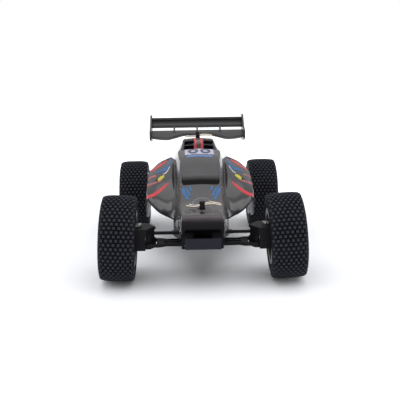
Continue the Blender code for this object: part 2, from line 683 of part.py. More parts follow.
TOP_RAIL = [
    (-28, 0, 48.2), (-27.2, 0, 58.6), (-22, 0, 62.0), (-10, 0, 62.6), (5, 0, 64.6), (20, 0, 68.8),
    (35, 0, 74.3), (50, 0, 82.2), (65, 0, 89.6), (80, 0, 93.8), (95, 0, 95.8), (104, 0, 95.2),
    (108, 0, 92.4), (111, 0, 92.6), (114, 0, 99.4), (125, 0, 100.6), (140, 0, 100.2), (158, 0, 98.0),
    (166, 0, 96.4),
]
SHOULDER_RAIL = [
    (-28, 15.6, 48.0), (-27.2, 16.0, 58.0), (-22, 16.6, 61.3), (-10, 17.2, 61.9), (5, 17.5, 63.9),
    (20, 17.5, 68.1), (35, 17.3, 73.6), (50, 17.5, 81.4), (65, 17.8, 88.7), (80, 19.0, 92.7),
    (95, 19.8, 94.4), (104, 19.6, 93.6), (108, 16.6, 91.4), (111, 16.2, 91.6), (114, 14.8, 98.2),
    (125, 15.0, 99.4), (140, 15.0, 99.0), (158, 14.6, 96.8), (166, 14.2, 95.2),
]
SIDE_RAIL = [
    (-28, 16.6, 47.8), (-27.2, 17.0, 56.0), (-10, 18.3, 58.0), (20, 19.2, 62.0), (35, 19.4, 66.0),
    (50, 20.0, 72.0), (65, 21.0, 79.0), (80, 22.0, 84.0), (95, 22.6, 86.5), (104, 22.4, 86.5),
    (114, 20.6, 88.5), (125, 20.6, 88.5), (140, 21.4, 87.4), (166, 21.6, 85.0),
]
VALLEY_RAIL = [
    (-28, 17.0, 47.6), (-27.2, 17.4, 53.5), (-10, 18.8, 54.0), (20, 20.4, 54.5), (36, 21.6, 54.0),
    (50, 22.4, 56.0), (70, 23.4, 62.0), (90, 24.0, 70.0), (110, 24.0, 78.0), (128, 25.0, 81.0),
    (166, 25.8, 78.0),
]
CREST_RAIL = [
    (-28, 17.2, 47.4), (-27.2, 17.6, 51.0), (-10, 19.2, 51.0), (20, 21.0, 51.2), (36, 22.2, 50.6),
    (43, 24.6, 51.2), (52, 26.4, 56.6), (64, 27.4, 66.0), (80, 28.0, 75.0), (100, 28.2, 82.4),
    (118, 28.0, 85.0), (128, 26.8, 80.6), (134, 26.2, 77.4), (166, 26.2, 75.0),
]
POD_RAIL = [
    (-28, 17.4, 47.2), (-27.2, 17.8, 49.0), (-10, 19.6, 48.6), (20, 21.6, 48.0), (36, 22.9, 47.4),
    (43, 26.0, 47.6), (52, 33.0, 52.6), (64, 39.0, 61.6), (80, 41.0, 70.6), (100, 41.4, 77.0),
    (118, 40.6, 79.0), (128, 36.0, 77.0), (134, 26.6, 74.0), (166, 26.5, 72.0),
]
OUTER_RAIL = [
    (-28, 17.5, 47.1), (-27.2, 17.9, 47.9), (-10, 19.9, 47.0), (20, 22.1, 44.8), (36, 23.7, 44.8),
    (43, 26.8, 44.6), (52, 37.0, 48.6), (64, 47.6, 57.0), (74, 50.2, 61.4), (90, 50.4, 65.6),
    (110, 50.2, 70.4), (122, 49.0, 70.0), (128, 46.0, 66.0), (134, 26.8, 70.0), (166, 26.7, 69.0),
]
EDGE_RAIL = [
    (-28, 17.6, 47.0), (-27.2, 18.0, 47.0), (-10, 20.1, 45.8), (4, 21.4, 43.4), (20, 22.6, 41.6),
    (36, 24.2, 42.4), (43, 27.4, 42.2), (52, 38.4, 45.8), (64, 48.8, 53.6), (68, 50.2, 51.6),
    (72, 51.0, 46.5), (80, 51.3, 36.0), (90, 51.6, 31.0), (110, 51.8, 29.0), (122, 51.4, 30.0),
    (128, 49.0, 40.0),
    (134, 27.0, 66.0), (166, 26.9, 66.0),
]
RAILS = (TOP_RAIL, SHOULDER_RAIL, SIDE_RAIL, VALLEY_RAIL, CREST_RAIL, POD_RAIL, OUTER_RAIL, EDGE_RAIL)


def on_rail(rail, y):
    ys = [point[0] for point in rail]
    return (float(np.interp(y, ys, [p[1] for p in rail])), float(np.interp(y, ys, [p[2] for p in rail])))


def shell_section(y):
    """The section's points from the left edge over the top to the right edge."""
    half = [on_rail(rail, y) for rail in RAILS]
    return [(x, y, z) for x, z in reversed(half)] + [(-x, y, z) for x, z in half[1:]]


def body_shell():
    stations = sorted({point[0] for rail in RAILS for point in rail})
    edit = bmesh.new()
    rows = [[edit.verts.new(p) for p in shell_section(y)] for y in stations]
    for here, after in zip(rows, rows[1:]):
        for i in range(len(here) - 1):
            edit.faces.new((here[i], here[i + 1], after[i + 1], after[i]))
    bmesh.ops.triangulate(edit, faces=edit.faces)
    shell = from_bmesh(edit, "shell")
    if sum(polygon.normal.z for polygon in shell.data.polygons) < 0:
        shell.data.flip_normals()
    modifier = shell.modifiers.new("wall", "SOLIDIFY")
    modifier.thickness = SHELL_WALL * MM
    modifier.offset = -1.0
    graph = bpy.context.evaluated_depsgraph_get()
    mesh = bpy.data.meshes.new_from_object(shell.evaluated_get(graph))
    shell.modifiers.clear()
    shell.data = mesh
    cut(
        shell,
        rod("z", 55, 75, (0, FRONT_POST_Y), 3.0, 16),
        rod("z", 90, 110, (0, REAR_POST_Y), 3.2, 16),
    )
    finish(shell, "body_shell", "shell")


def body_clip(y, z, turn, name):
    """A bent wire pin: a straight leg through the post and a wavy leg that grips it."""
    half, back = 13.0, 15.5
    path = [(-half, 0.0)]
    path += [(x, 0.0) for x in (-6.0, 2.0, 9.0)]
    for i in range(7):
        angle = -math.pi / 2 + math.pi * i / 6
        path.append((back + 2.6 * math.cos(angle) - 2.6, 2.6 + 2.6 * math.sin(angle)))
    path += [(7.0, 5.0), (3.6, 3.5), (0.0, 3.45), (-3.6, 3.5), (-8.5, 5.2), (-11.0, 6.6)]
    c, s = math.cos(turn), math.sin(turn)
    points = [(x * c - w * s, y + x * s + w * c, z) for x, w in path]
    finish(tube(points, 0.6, 6), name, "steel")


# Wing -------------------------------------------------------------------------------------------

def wing_slab(stations, name):
    """A plane of the wing. Each station is (x, front (y, z), rear (y, z)) and is 1.6 thick."""
    half_wall = 0.8
    edit = bmesh.new()
    rings = []
    for x, front, rear in stations:
        run = Vector((rear[0] - front[0], rear[1] - front[1])).normalized()
        lift = Vector((-run.y, run.x)) * half_wall
        sag = Vector((run.y, -run.x)) * 1.6
        middle = (Vector(front) + Vector(rear)) / 2 + sag
        ring = [Vector(front) + lift, middle + lift, Vector(rear) + lift]
        ring += [Vector(rear) - lift, middle - lift, Vector(front) - lift]
        rings.append([edit.verts.new((x, p.x, p.y)) for p in ring])
    for here, after in zip(rings, rings[1:]):
        for i in range(6):
            j = (i + 1) % 6
            edit.faces.new((here[i], here[j], after[j], after[i]))
    edit.faces.new(rings[0])
    edit.faces.new(rings[-1])
    bmesh.ops.triangulate(edit, faces=edit.faces)
    return from_bmesh(edit, name)


def wing():
    lead = [
        (0, 180.5, 97.8), (13, 180.0, 97.6), (22, 175.0, 96.0), (33, 172.0, 94.0), (42, 172.8, 94.6),
        (50, 174.0, 95.8),
    ]
    half = [(x, (y, z), (190.5, 101.4)) for x, y, z in lead]
    plane = [(-x, a, b) for x, a, b in reversed(half) if x > 0] + half
    body = wing_slab(plane, "wing")
    flap = wing_slab([(x, (192.3, 104.6), (204.0, 113.0)) for x in (-50, 50)], "flap")
    end_plate = [
        (173.2, 94.4), (183, 91.0), (WING_REAR, 88.4), (WING_REAR, 117.6), (199.0, 116.6), (186, 105.8),
        (173.2, 103.0),
    ]
    for side in (-1, 1):
        xs = sorted((side * (WING_HALF - 1.6), side * (WING_HALF + 0.4)))
        join(body, prism(end_plate, "x", xs[0], xs[1]))
    join(body, flap)
    rib = [(187.4, 99.4), (190.0, 100.6), (195.5, 105.6), (200.0, 111.0), (195.0, 108.4), (188.4, 102.4)]
    for x in (-25, 0, 25):
        join(body, prism(rib, "x", x - 0.8, x + 0.8))
    finish(body, "wing", "wing_plastic")


def main():
    clear_scene()
    chassis_tub()
    front_bulkhead()
    front_bumper()
    power_parts()
    steering()
    lower_arm()
    upper_link()
    carrier()
    knuckle()
    wheels()
    swing_unit()
    rear_tower()
    body_shell()
    body_clip(FRONT_POST_Y, FRONT_CLIP_Z, math.radians(-4), "front_body_clip")
    body_clip(REAR_POST_Y, REAR_CLIP_Z, math.radians(5), "rear_body_clip")
    wing()


main()
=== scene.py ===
"""The looks of the remote control buggy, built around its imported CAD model.

Lengths are millimetres until a mesh is made, as in the CAD: x to the car's left, y back from the front
axle and z up from the ground. The nose points to -Y.
"""
import json
import math
import random

import bmesh
import bpy
import numpy as np
from mathutils import Matrix, Vector
from mathutils.bvhtree import BVHTree


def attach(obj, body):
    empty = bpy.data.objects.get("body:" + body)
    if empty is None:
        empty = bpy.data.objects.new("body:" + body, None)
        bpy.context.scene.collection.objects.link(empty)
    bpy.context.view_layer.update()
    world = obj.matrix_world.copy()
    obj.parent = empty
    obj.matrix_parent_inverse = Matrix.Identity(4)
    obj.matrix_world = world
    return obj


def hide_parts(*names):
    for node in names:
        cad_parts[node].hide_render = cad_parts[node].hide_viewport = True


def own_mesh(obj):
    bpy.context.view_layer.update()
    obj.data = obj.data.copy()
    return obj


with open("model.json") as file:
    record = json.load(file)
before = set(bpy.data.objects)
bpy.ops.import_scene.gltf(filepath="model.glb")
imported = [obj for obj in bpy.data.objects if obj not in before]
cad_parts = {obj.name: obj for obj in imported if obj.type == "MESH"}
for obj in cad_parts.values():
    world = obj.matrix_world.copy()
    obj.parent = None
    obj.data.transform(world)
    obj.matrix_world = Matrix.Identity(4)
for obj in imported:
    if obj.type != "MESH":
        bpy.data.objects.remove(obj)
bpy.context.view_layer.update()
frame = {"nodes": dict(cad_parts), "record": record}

MM = 0.001
DRAWING_SHIFT = -85.0
SIDES = (("left", 1), ("right", -1))

TYRE_RADIUS, TYRE_WIDTH = 36.0, 29.5
TREAD_HALF = TYRE_WIDTH / 2 - 2.2
RIM_RADIUS = 23.0
HOLE_CIRCLE, HOLE_RADIUS = 12.4, 4.2
CAMBER, TOE = math.radians(3.3), math.radians(1.2)
FRONT_HUB = (70.0, 0.0, TYRE_RADIUS * math.cos(CAMBER) + TREAD_HALF * math.sin(CAMBER))
REAR_HUB = (68.0, 168.0, TYRE_RADIUS)
FRONT_POST_Y, FRONT_CLIP_Z = -10.0, 66.2
REAR_POST_Y, REAR_CLIP_Z = 160.0, 99.6
SHELL_WALL = 1.0
COAT_WEIGHT = 0.35


# Materials --------------------------------------------------------------------------------------

class Surface:
    """A Principled material whose colour, gloss and relief come from noise at the object's own scale."""

    def __init__(self, name):
        self.material = bpy.data.materials.new(name)
        self.material.use_nodes = True
        self.tree = self.material.node_tree
        self.shader = self.tree.nodes["Principled BSDF"]
        self.place = self.node("ShaderNodeTexCoord").outputs["Object"]
        self.last_normal = None

    def node(self, kind, **inputs):
        made = self.tree.nodes.new(kind)
        for key, value in inputs.items():
            made.inputs[key.replace("_", " ")].default_value = value
        return made

    def link(self, source, target):
        self.tree.links.new(source, target)

    def noise(self, scale, detail=3.0, rough=0.55, stretch=None):
        made = self.node("ShaderNodeTexNoise", Scale=scale, Detail=detail, Roughness=rough)
        place = self.place
        if stretch:
            mapping = self.node("ShaderNodeMapping")
            mapping.inputs["Scale"].default_value = stretch
            self.link(place, mapping.inputs["Vector"])
            place = mapping.outputs["Vector"]
        self.link(place, made.inputs["Vector"])
        return made.outputs["Fac"]

    def ramp(self, source, stops):
        made = self.node("ShaderNodeValToRGB")
        elements = made.color_ramp.elements
        while len(elements) < len(stops):
            elements.new(0.5)
        for element, (at, colour) in zip(elements, stops):
            element.position = at
            element.color = (*colour, 1.0)
        self.link(source, made.inputs["Fac"])
        return made.outputs["Color"]

    def gradient(self, axis, start, end):
        """0 to 1 along an axis, between two places in frame metres."""
        parts = self.node("ShaderNodeSeparateXYZ")
        self.link(self.place, parts.inputs["Vector"])
        made = self.node("ShaderNodeMapRange")
        made.inputs["From Min"].default_value = start
        made.inputs["From Max"].default_value = end
        self.link(parts.outputs[axis], made.inputs["Value"])
        return made.outputs["Result"]

    def scaled(self, source, low, high, target):
        """Drives a shader input from low to high as the source goes from 0 to 1."""
        made = self.node("ShaderNodeMapRange")
        made.inputs["To Min"].default_value = low
        made.inputs["To Max"].default_value = high
        self.link(source, made.inputs["Value"])
        self.link(made.outputs["Result"], self.shader.inputs[target])

    def spread(self, source, low, high):
        made = self.node("ShaderNodeMapRange")
        made.inputs["From Min"].default_value = 0.3
        made.inputs["From Max"].default_value = 0.7
        made.inputs["To Min"].default_value = low
        made.inputs["To Max"].default_value = high
        self.link(source, made.inputs["Value"])
        return made.outputs["Result"]

    def colour(self, source):
        self.link(source, self.shader.inputs["Base Color"])

    def roughness(self, source, low, high):
        self.link(self.spread(source, low, high), self.shader.inputs["Roughness"])

    def relief(self, source, strength, depth):
        """Bump of a depth in millimetres, on top of any relief laid before it."""
        made = self.node("ShaderNodeBump", Strength=strength, Distance=depth * MM)
        self.link(source, made.inputs["Height"])
        if self.last_normal:
            self.link(self.last_normal, made.inputs["Normal"])
        self.last_normal = made.outputs["Normal"]
        self.link(self.last_normal, self.shader.inputs["Normal"])

    def worn_edges(self, under, light, reach=0.56):
        """Mixes a paler tone over the colour where the surface is most convex."""
        convex = self.node("ShaderNodeNewGeometry").outputs["Pointiness"]
        mask = self.ramp(convex, [(0.50, (0, 0, 0)), (reach, (1, 1, 1))])
        mixed = self.node("ShaderNodeMix")
        mixed.data_type = "RGBA"
        self.link(mask, mixed.inputs["Factor"])
        self.link(under, mixed.inputs["A"])
        mixed.inputs["B"].default_value = (*light, 1.0)
        return mixed.outputs["Result"]


def moulded(name, dark, light, rough, grain=1400.0, depth=0.03, worn=None, shine=0.5):
    """Injection-moulded plastic: soft patches of tone, a spark-eroded grain, uneven gloss, rubbed edges."""
    made = Surface(name)
    tone = made.ramp(made.noise(45.0, 4.0), [(0.35, dark), (0.65, light)])
    if worn:
        tone = made.worn_edges(tone, worn)
    made.colour(tone)
    made.roughness(made.noise(120.0, 5.0, 0.65), rough - 0.07, rough + 0.10)
    made.relief(made.noise(260.0, 2.0), 0.25, depth * 2)
    made.relief(made.noise(grain, 2.0), 0.5, depth)
    made.shader.inputs["Specular IOR Level"].default_value = shine
    return made.material


def metal(name, dark, light, rough, stretch, depth=0.01):
    """Drawn or turned metal with fine marks along one direction."""
    made = Surface(name)
    made.shader.inputs["Metallic"].default_value = 1.0
    marks = made.noise(700.0, 3.0, 0.6, stretch)
    made.colour(made.ramp(marks, [(0.3, dark), (0.7, light)]))
    made.roughness(made.noise(90.0, 4.0), rough - 0.08, rough + 0.10)
    made.relief(marks, 0.4, depth)
    return made.material


def rubber(name, dark, light, worn):
    """Dusty rubber with a fine grain."""
    made = Surface(name)
    dust = made.noise(60.0, 6.0, 0.7)
    tone = made.ramp(dust, [(0.35, dark), (0.72, light)])
    made.colour(made.worn_edges(tone, worn, 0.62))
    made.roughness(dust, 0.50, 0.70)
    made.relief(made.noise(1800.0, 2.0), 0.5, 0.03)
    made.shader.inputs["Specular IOR Level"].default_value = 0.15
    return made.material


def shell_paint():
    """Clear plastic painted on its inside: deep gloss, very fine flakes and a few hairlines."""
    made = Surface("shell_paint")
    flakes = made.noise(5200.0, 1.0)
    cloud = made.noise(26.0, 3.0)
    tone = made.ramp(cloud, [(0.32, (0.026, 0.023, 0.026)), (0.68, (0.040, 0.036, 0.040))])
    glint = made.ramp(flakes, [(0.60, (0, 0, 0)), (0.78, (0.05, 0.05, 0.055))])
    mixed = made.node("ShaderNodeMix")
    mixed.data_type = "RGBA"
    mixed.blend_type = "ADD"
    mixed.inputs["Factor"].default_value = 0.5
    made.link(tone, mixed.inputs["A"])
    made.link(glint, mixed.inputs["B"])
    made.colour(mixed.outputs["Result"])
    made.roughness(made.noise(70.0, 5.0, 0.7), 0.10, 0.20)
    made.relief(made.noise(34.0, 1.0), 0.30, 0.12)
    made.relief(made.noise(500.0, 2.0, 0.5, (1.0, 0.05, 0.3)), 0.10, 0.01)
    made.shader.inputs["Coat Weight"].default_value = COAT_WEIGHT
    made.shader.inputs["Coat Roughness"].default_value = 0.05
    return made.material


def nose_paint_and_painted_reflection():
    """The nose's front face: brown-black, with a painted reflection that lightens towards its top and darkens
    towards its foot, where the dark ground beneath would be mirrored.
    """
    made = Surface("nose_paint_and_painted_reflection")
    height = made.gradient("Z", 49.0 * MM, 62.0 * MM)
    mottled = made.node("ShaderNodeMath")
    mottled.operation = "MULTIPLY_ADD"
    made.link(made.noise(120.0, 4.0), mottled.inputs[0])
    mottled.inputs[1].default_value = 0.10
    made.link(height, mottled.inputs[2])
    # painted reflection: near black at the foot, lightening towards the top
    stops = [(0.15, (0.0018, 0.0014, 0.0020)), (0.60, (0.0070, 0.0045, 0.0055)), (1.0, (0.115, 0.098, 0.110))]
    made.colour(made.ramp(mottled.outputs["Value"], stops))
    made.roughness(made.noise(70.0, 5.0, 0.7), 0.16, 0.26)
    made.relief(made.noise(34.0, 1.0), 0.30, 0.12)
    made.shader.inputs["Specular IOR Level"].default_value = 0.12
    return made.material


def flap_plastic_painted_shade():
    """The flap's plastic, duller towards its trailing edge and darker there as painted shade over the flap's
    upper part.
    """
    made = Surface("flap_plastic_painted_shade")
    height = made.gradient("Z", 104.5 * MM, 110.5 * MM)
    # painted shade: the colour darkens towards the flap's upper, trailing edge
    stops = [(0.0, (0.024, 0.022, 0.026)), (0.6, (0.012, 0.011, 0.013)), (1.0, (0.006, 0.006, 0.007))]
    made.colour(made.ramp(height, stops))
    made.roughness(made.noise(120.0, 5.0, 0.65), 0.22, 0.36)
    made.relief(made.noise(1100.0, 2.0), 0.5, 0.004)
    made.scaled(height, 0.75, 0.12, "Specular IOR Level")
    return made.material


def shell_lining():
    made = Surface("shell_lining")
    made.colour(made.ramp(made.noise(30.0, 4.0), [(0.3, (0.50, 0.49, 0.56)), (0.7, (0.60, 0.59, 0.66))]))
    made.roughness(made.noise(150.0, 4.0), 0.42, 0.60)
    made.relief(made.noise(900.0, 3.0), 0.35, 0.03)
    return made.material


def film(name, dark, light, rough=0.34, shine=0.30):
    """A printed sticker film: a slight print grain, and the shell's gloss over it."""
    made = Surface(name)
    tone = made.ramp(made.noise(420.0, 5.0, 0.7), [(0.30, dark), (0.62, light)])
    made.colour(tone)
    made.roughness(made.noise(110.0, 4.0), rough - 0.06, rough + 0.08)
    made.relief(made.noise(60.0, 2.0), 0.2, 0.12)
    made.shader.inputs["Specular IOR Level"].default_value = shine
    return made.material


def screen_foot_painted_reflection():
    """The windscreen's foot, painted near black as a dark reflection with its gloss taken away, which clears
    upwards into the shell's colour.
    """
    made = Surface("screen_foot_painted_reflection")
    along = made.gradient("Y", (41.0 + DRAWING_SHIFT) * MM, (48.4 + DRAWING_SHIFT) * MM)
    # painted dark reflection: near black at the foot, clearing upwards into the shell's colour
    stops = [(0.0, (0.0018, 0.0016, 0.0022)), (0.5, (0.0045, 0.004, 0.005)), (1.0, (0.032, 0.028, 0.032))]
    made.colour(made.ramp(along, stops))
    made.roughness(made.noise(70.0, 5.0, 0.7), 0.12, 0.22)
    made.scaled(along, 0.06, 0.5, "Specular IOR Level")
    made.scaled(along, 0.0, COAT_WEIGHT, "Coat Weight")
    return made.material


def faded(name, strong, weak):
    """A film whose print breaks up into the shell's colour."""
    made = Surface(name)
    made.colour(made.ramp(made.noise(170.0, 6.0, 0.8, (1.0, 0.35, 1.0)), [(0.38, weak), (0.60, strong)]))
    made.roughness(made.noise(110.0, 4.0), 0.24, 0.36)
    return made.material


def board_green():
    """Solder mask with tinned pads and the darker lines of its tracks."""
    made = Surface("circuit_board")
    cells = made.node("ShaderNodeTexVoronoi", Scale=420.0)
    made.link(made.place, cells.inputs["Vector"])
    stops = [(0.10, (0.60, 0.58, 0.50)), (0.16, (0.012, 0.10, 0.045)), (0.60, (0.020, 0.17, 0.07))]
    made.colour(made.ramp(cells.outputs["Distance"], stops))
    made.roughness(made.noise(200.0), 0.30, 0.50)
    made.relief(cells.outputs["Distance"], 0.3, 0.1)
    return made.material


LOOKS = {
    "black_plastic": moulded(
        "black_plastic", (0.0030, 0.0032, 0.0045), (0.0055, 0.0058, 0.0080), 0.36,
        worn=(0.011, 0.011, 0.014), shine=0.09,
    ),
    "bumper_plastic": moulded(
        "bumper_plastic", (0.008, 0.008, 0.012), (0.012, 0.012, 0.018), 0.42,
        worn=(0.022, 0.022, 0.032), shine=0.05,
    ),
    "rim_plastic": moulded(
        "rim_plastic", (0.005, 0.005, 0.006), (0.009, 0.009, 0.010), 0.30,
        depth=0.015, worn=(0.03, 0.03, 0.03),
    ),
    "servo_plastic": moulded("servo_plastic", (0.035, 0.035, 0.04), (0.06, 0.06, 0.065), 0.42),
    "tyre_rubber": rubber(
        "tyre_rubber", (0.0018, 0.0020, 0.0034), (0.0045, 0.0048, 0.0072), (0.012, 0.013, 0.018)
    ),
    "steel": metal("steel", (0.52, 0.51, 0.49), (0.66, 0.65, 0.62), 0.28, (1.0, 1.0, 0.15)),
    "clip_wire": metal("clip_wire", (0.62, 0.54, 0.44), (0.80, 0.72, 0.62), 0.30, (0.15, 1.0, 1.0)),
    "motor_can": metal("motor_can", (0.42, 0.42, 0.42), (0.56, 0.56, 0.55), 0.32, (0.1, 1.0, 1.0)),
    "bronze": metal("bronze", (0.50, 0.33, 0.14), (0.66, 0.47, 0.24), 0.34, (0.2, 1.0, 1.0)),
    "nylon": moulded("nylon", (0.66, 0.65, 0.60), (0.78, 0.77, 0.72), 0.45, 900.0, 0.02),
    "battery_wrap": moulded("battery_wrap", (0.03, 0.11, 0.32), (0.06, 0.19, 0.46), 0.28, 500.0, 0.04),
    "circuit_board": board_green(),
    "shell_plastic": shell_paint(),
    "wing_plastic": moulded(
        "wing_plastic", (0.013, 0.012, 0.014), (0.020, 0.018, 0.021), 0.27, 1100.0, 0.004, shine=0.65
    ),
}
LINING = shell_lining()
NOSE = nose_paint_and_painted_reflection()
FLAP = flap_plastic_painted_shade()
TREAD = rubber("tread_rubber", (0.0075, 0.008, 0.0125), (0.0135, 0.014, 0.020), (0.030, 0.032, 0.042))
PIN_STEEL = metal("pin_steel", (0.06, 0.06, 0.06), (0.10, 0.10, 0.10), 0.35, (1.0, 0.15, 1.0))
RED = film("red_film", (0.50, 0.030, 0.040), (0.62, 0.065, 0.075))
RED_FADED = faded("red_faded_film", (0.50, 0.10, 0.12), (0.13, 0.085, 0.10))
BLUE = film("blue_film", (0.018, 0.085, 0.25), (0.035, 0.14, 0.34))
YELLOW = film("yellow_film", (0.42, 0.38, 0.02), (0.56, 0.51, 0.06))
WHITE = film("white_film", (0.45, 0.44, 0.50), (0.60, 0.59, 0.66))
BLACK = film("black_film", (0.002, 0.002, 0.0025), (0.005, 0.005, 0.006), 0.22, 0.06)
MOUTH = film("mouth_film", (0.0015, 0.0015, 0.002), (0.003, 0.003, 0.004), 0.6, 0.0)
PALE = film("pale_film", (0.38, 0.38, 0.50), (0.48, 0.48, 0.61))
MARK = film("mark_film", (0.035, 0.04, 0.08), (0.07, 0.08, 0.15))
SKY = film("sky_film", (0.07, 0.14, 0.38), (0.12, 0.23, 0.50))


# Mesh helpers -----------------------------------------------------------------------------------

def to_frame(point):
    return Vector((point[0], point[1] + DRAWING_SHIFT, point[2])) * MM


def linked(name, data):
    obj = bpy.data.objects.new(name, data)
    bpy.context.scene.collection.objects.link(obj)
    return obj


def mesh_of(name, points, faces):
    """A mesh from points in drawing millimetres, with its faces pointing outwards."""
    mesh = bpy.data.meshes.new(name)
    mesh.from_pydata([to_frame(p) for p in points], [], faces)
    mesh.validate()
    edit = bmesh.new()
    edit.from_mesh(mesh)
    bmesh.ops.recalc_face_normals(edit, faces=edit.faces)
    edit.to_mesh(mesh)
    edit.free()
    return mesh


def piece(name, points, faces, look, body, smooth=40.0):
    """A visual piece from points in drawing millimetres, riding on a body."""
    mesh = mesh_of(name, points, faces)
    mesh.shade_smooth()
    mesh.set_sharp_from_angle(angle=math.radians(smooth))
    mesh.materials.append(look)
    obj = linked(name, mesh)
    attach(obj, body)
    return obj


def soften(obj, width, segments=2, angle=35.0):
    modifier = obj.modifiers.new("edges", "BEVEL")
    modifier.width = width * MM
    modifier.segments = segments
    modifier.limit_method = "ANGLE"
    modifier.angle_limit = math.radians(angle)
    modifier.harden_normals = True
    return obj


def lattice(rows, closed_rows=False, closed_columns=False, caps=False):
    """Points and quads of a grid given as rows of points."""
    points = [p for row in rows for p in row]
    width, count = len(rows[0]), len(rows)
    faces = []
    for i in range(count if closed_rows else count - 1):
        for j in range(width if closed_columns else width - 1):
            a, b = i * width + j, i * width + (j + 1) % width
            c, d = (i + 1) % count * width + (j + 1) % width, (i + 1) % count * width + j
            faces.append((a, b, c, d))
    if caps:
        faces.append(tuple(range(width)))
        faces.append(tuple((count - 1) * width + j for j in range(width)))
    return points, faces


def turned(profile, hub, segments, side=1, closed=True):
    """A profile of (distance outwards from the hub along the axle, radius) turned about the axle."""
    rows = []
    for i in range(segments):
        angle = 2 * math.pi * i / segments
        a, b = math.cos(angle), math.sin(angle)
        rows.append([(side * (hub[0] + x), hub[1] + a * r, hub[2] + b * r) for x, r in profile])
    return lattice(rows, closed_rows=True, closed_columns=closed)


def leaned(points, hub, side):
    """Tilts a front wheel's points by its camber and toe. Rear wheels stand straight."""
    if hub is REAR_HUB:
        return points
    centre = Vector((side * hub[0], hub[1], hub[2]))
    tilt = Matrix.Rotation(-side * TOE, 3, "Z") @ Matrix.Rotation(-side * CAMBER, 3, "Y")
    return [tuple(centre + tilt @ (Vector(p) - centre)) for p in points]


def through(controls, steps):
    """A Catmull-Rom curve through the control points, with that many steps between two of them."""
    pts = [Vector(p) for p in controls]
    pts = [pts[0] * 2 - pts[1]] + pts + [pts[-1] * 2 - pts[-2]]
    curve = []
    for a, b, c, d in zip(pts, pts[1:], pts[2:], pts[3:]):
        for k in range(steps):
            t = k / steps
            bend = (2 * a - 5 * b + 4 * c - d) * t * t
            curve.append(0.5 * (2 * b + (c - a) * t + bend + (3 * b - a - 3 * c + d) * t ** 3))
    curve.append(pts[-2])
    return curve


def wire(path, radius, sides):
    """Points and faces of a round wire with domed ends."""
    pts = [Vector(p) for p in path]
    rows = []
    side = (pts[1] - pts[0]).orthogonal().normalized()
    for i, point in enumerate(pts):
        ahead = (pts[min(i + 1, len(pts) - 1)] - pts[max(i - 1, 0)]).normalized()
        side = (side - ahead * side.dot(ahead)).normalized()
        other = ahead.cross(side)
        reaches = [(0.0, 1.0)]
        if i == 0:
            reaches = [(-0.6, 0.35), (-0.4, 0.75), (0.0, 1.0)]
        if i == len(pts) - 1:
            reaches = [(0.0, 1.0), (0.4, 0.75), (0.6, 0.35)]
        for forward, share in reaches:
            centre = point + ahead * radius * forward
            angles = [2 * math.pi * k / sides for k in range(sides)]
            rows.append([
                tuple(centre + (side * math.cos(a) + other * math.sin(a)) * radius * share) for a in angles
            ])
    return lattice(rows, closed_columns=True, caps=True)


def pchip(xs, ys, at):
    """Monotone cubic values through the points, which never overshoot them."""
    xs, ys, at = (np.asarray(v, float) for v in (xs, ys, at))
    steps = np.diff(xs)
    slopes = np.diff(ys) / steps
    tangents = np.zeros_like(ys)
    tangents[0], tangents[-1] = slopes[0], slopes[-1]
    for i in range(1, len(xs) - 1):
        if slopes[i - 1] * slopes[i] > 0:
            w1, w2 = 2 * steps[i] + steps[i - 1], steps[i] + 2 * steps[i - 1]
            tangents[i] = (w1 + w2) / (w1 / slopes[i - 1] + w2 / slopes[i])
    cell = np.clip(np.searchsorted(xs, at) - 1, 0, len(steps) - 1)
    h = steps[cell]
    t = np.clip((at - xs[cell]) / h, 0, 1)
    return (
        (2 * t ** 3 - 3 * t ** 2 + 1) * ys[cell] + (t ** 3 - 2 * t ** 2 + t) * h * tangents[cell]
        + (3 * t ** 2 - 2 * t ** 3) * ys[cell + 1] + (t ** 3 - t ** 2) * h * tangents[cell + 1]
    )


# Body shell -------------------------------------------------------------------------------------
# Rails of the left half, from the centre line outwards and down, as (y, x, z) points.

TOP_RAIL = [
    (-28, 0, 48.2), (-27.4, 0, 59.4), (-25.2, 0, 61.5), (-22, 0, 62.2), (-10, 0, 62.6), (5, 0, 64.6),
    (20, 0, 68.8), (35, 0, 74.3), (50, 0, 82.2), (65, 0, 89.6), (80, 0, 93.8), (95, 0, 95.8),
    (104, 0, 95.2), (108, 0, 92.4), (111, 0, 92.6), (114, 0, 99.4),
    (125, 0, 100.6), (140, 0, 100.2), (158, 0, 98.0), (166, 0, 96.4),
]
SHOULDER_RAIL = [
    (-28, 15.6, 48.0), (-27.4, 16.0, 58.8), (-25.2, 16.4, 60.8), (-22, 16.6, 61.5), (-10, 17.2, 61.9),
    (5, 17.5, 63.9), (20, 17.5, 68.1), (35, 17.3, 73.6), (50, 17.5, 81.4), (65, 17.8, 88.7),
    (80, 19.0, 92.7), (95, 19.8, 94.4), (104, 19.6, 93.6), (108, 16.6, 91.4), (111, 16.2, 91.6),
    (114, 14.8, 98.2), (125, 15.0, 99.4),
    (140, 15.0, 99.0), (158, 14.6, 96.8), (166, 14.2, 95.2),
]
SIDE_RAIL = [
    (-28, 16.6, 47.8), (-27.2, 17.0, 56.0), (-10, 18.3, 58.0), (20, 19.2, 62.0), (35, 19.4, 66.0),
    (50, 20.0, 72.0), (65, 21.0, 79.0), (80, 22.0, 84.0), (95, 22.6, 86.5), (104, 22.4, 86.5),
    (114, 20.6, 88.5), (125, 20.6, 88.5), (140, 21.4, 87.4), (166, 21.6, 85.0),
]
VALLEY_RAIL = [
    (-28, 17.0, 47.6), (-27.2, 17.4, 53.5), (-10, 18.8, 54.0), (20, 20.4, 54.5), (36, 21.6, 54.0),
    (50, 22.3, 58.0), (70, 23.0, 67.6), (90, 23.6, 77.0), (110, 23.8, 82.4),
    (128, 25.0, 81.0), (166, 25.8, 78.0),
]
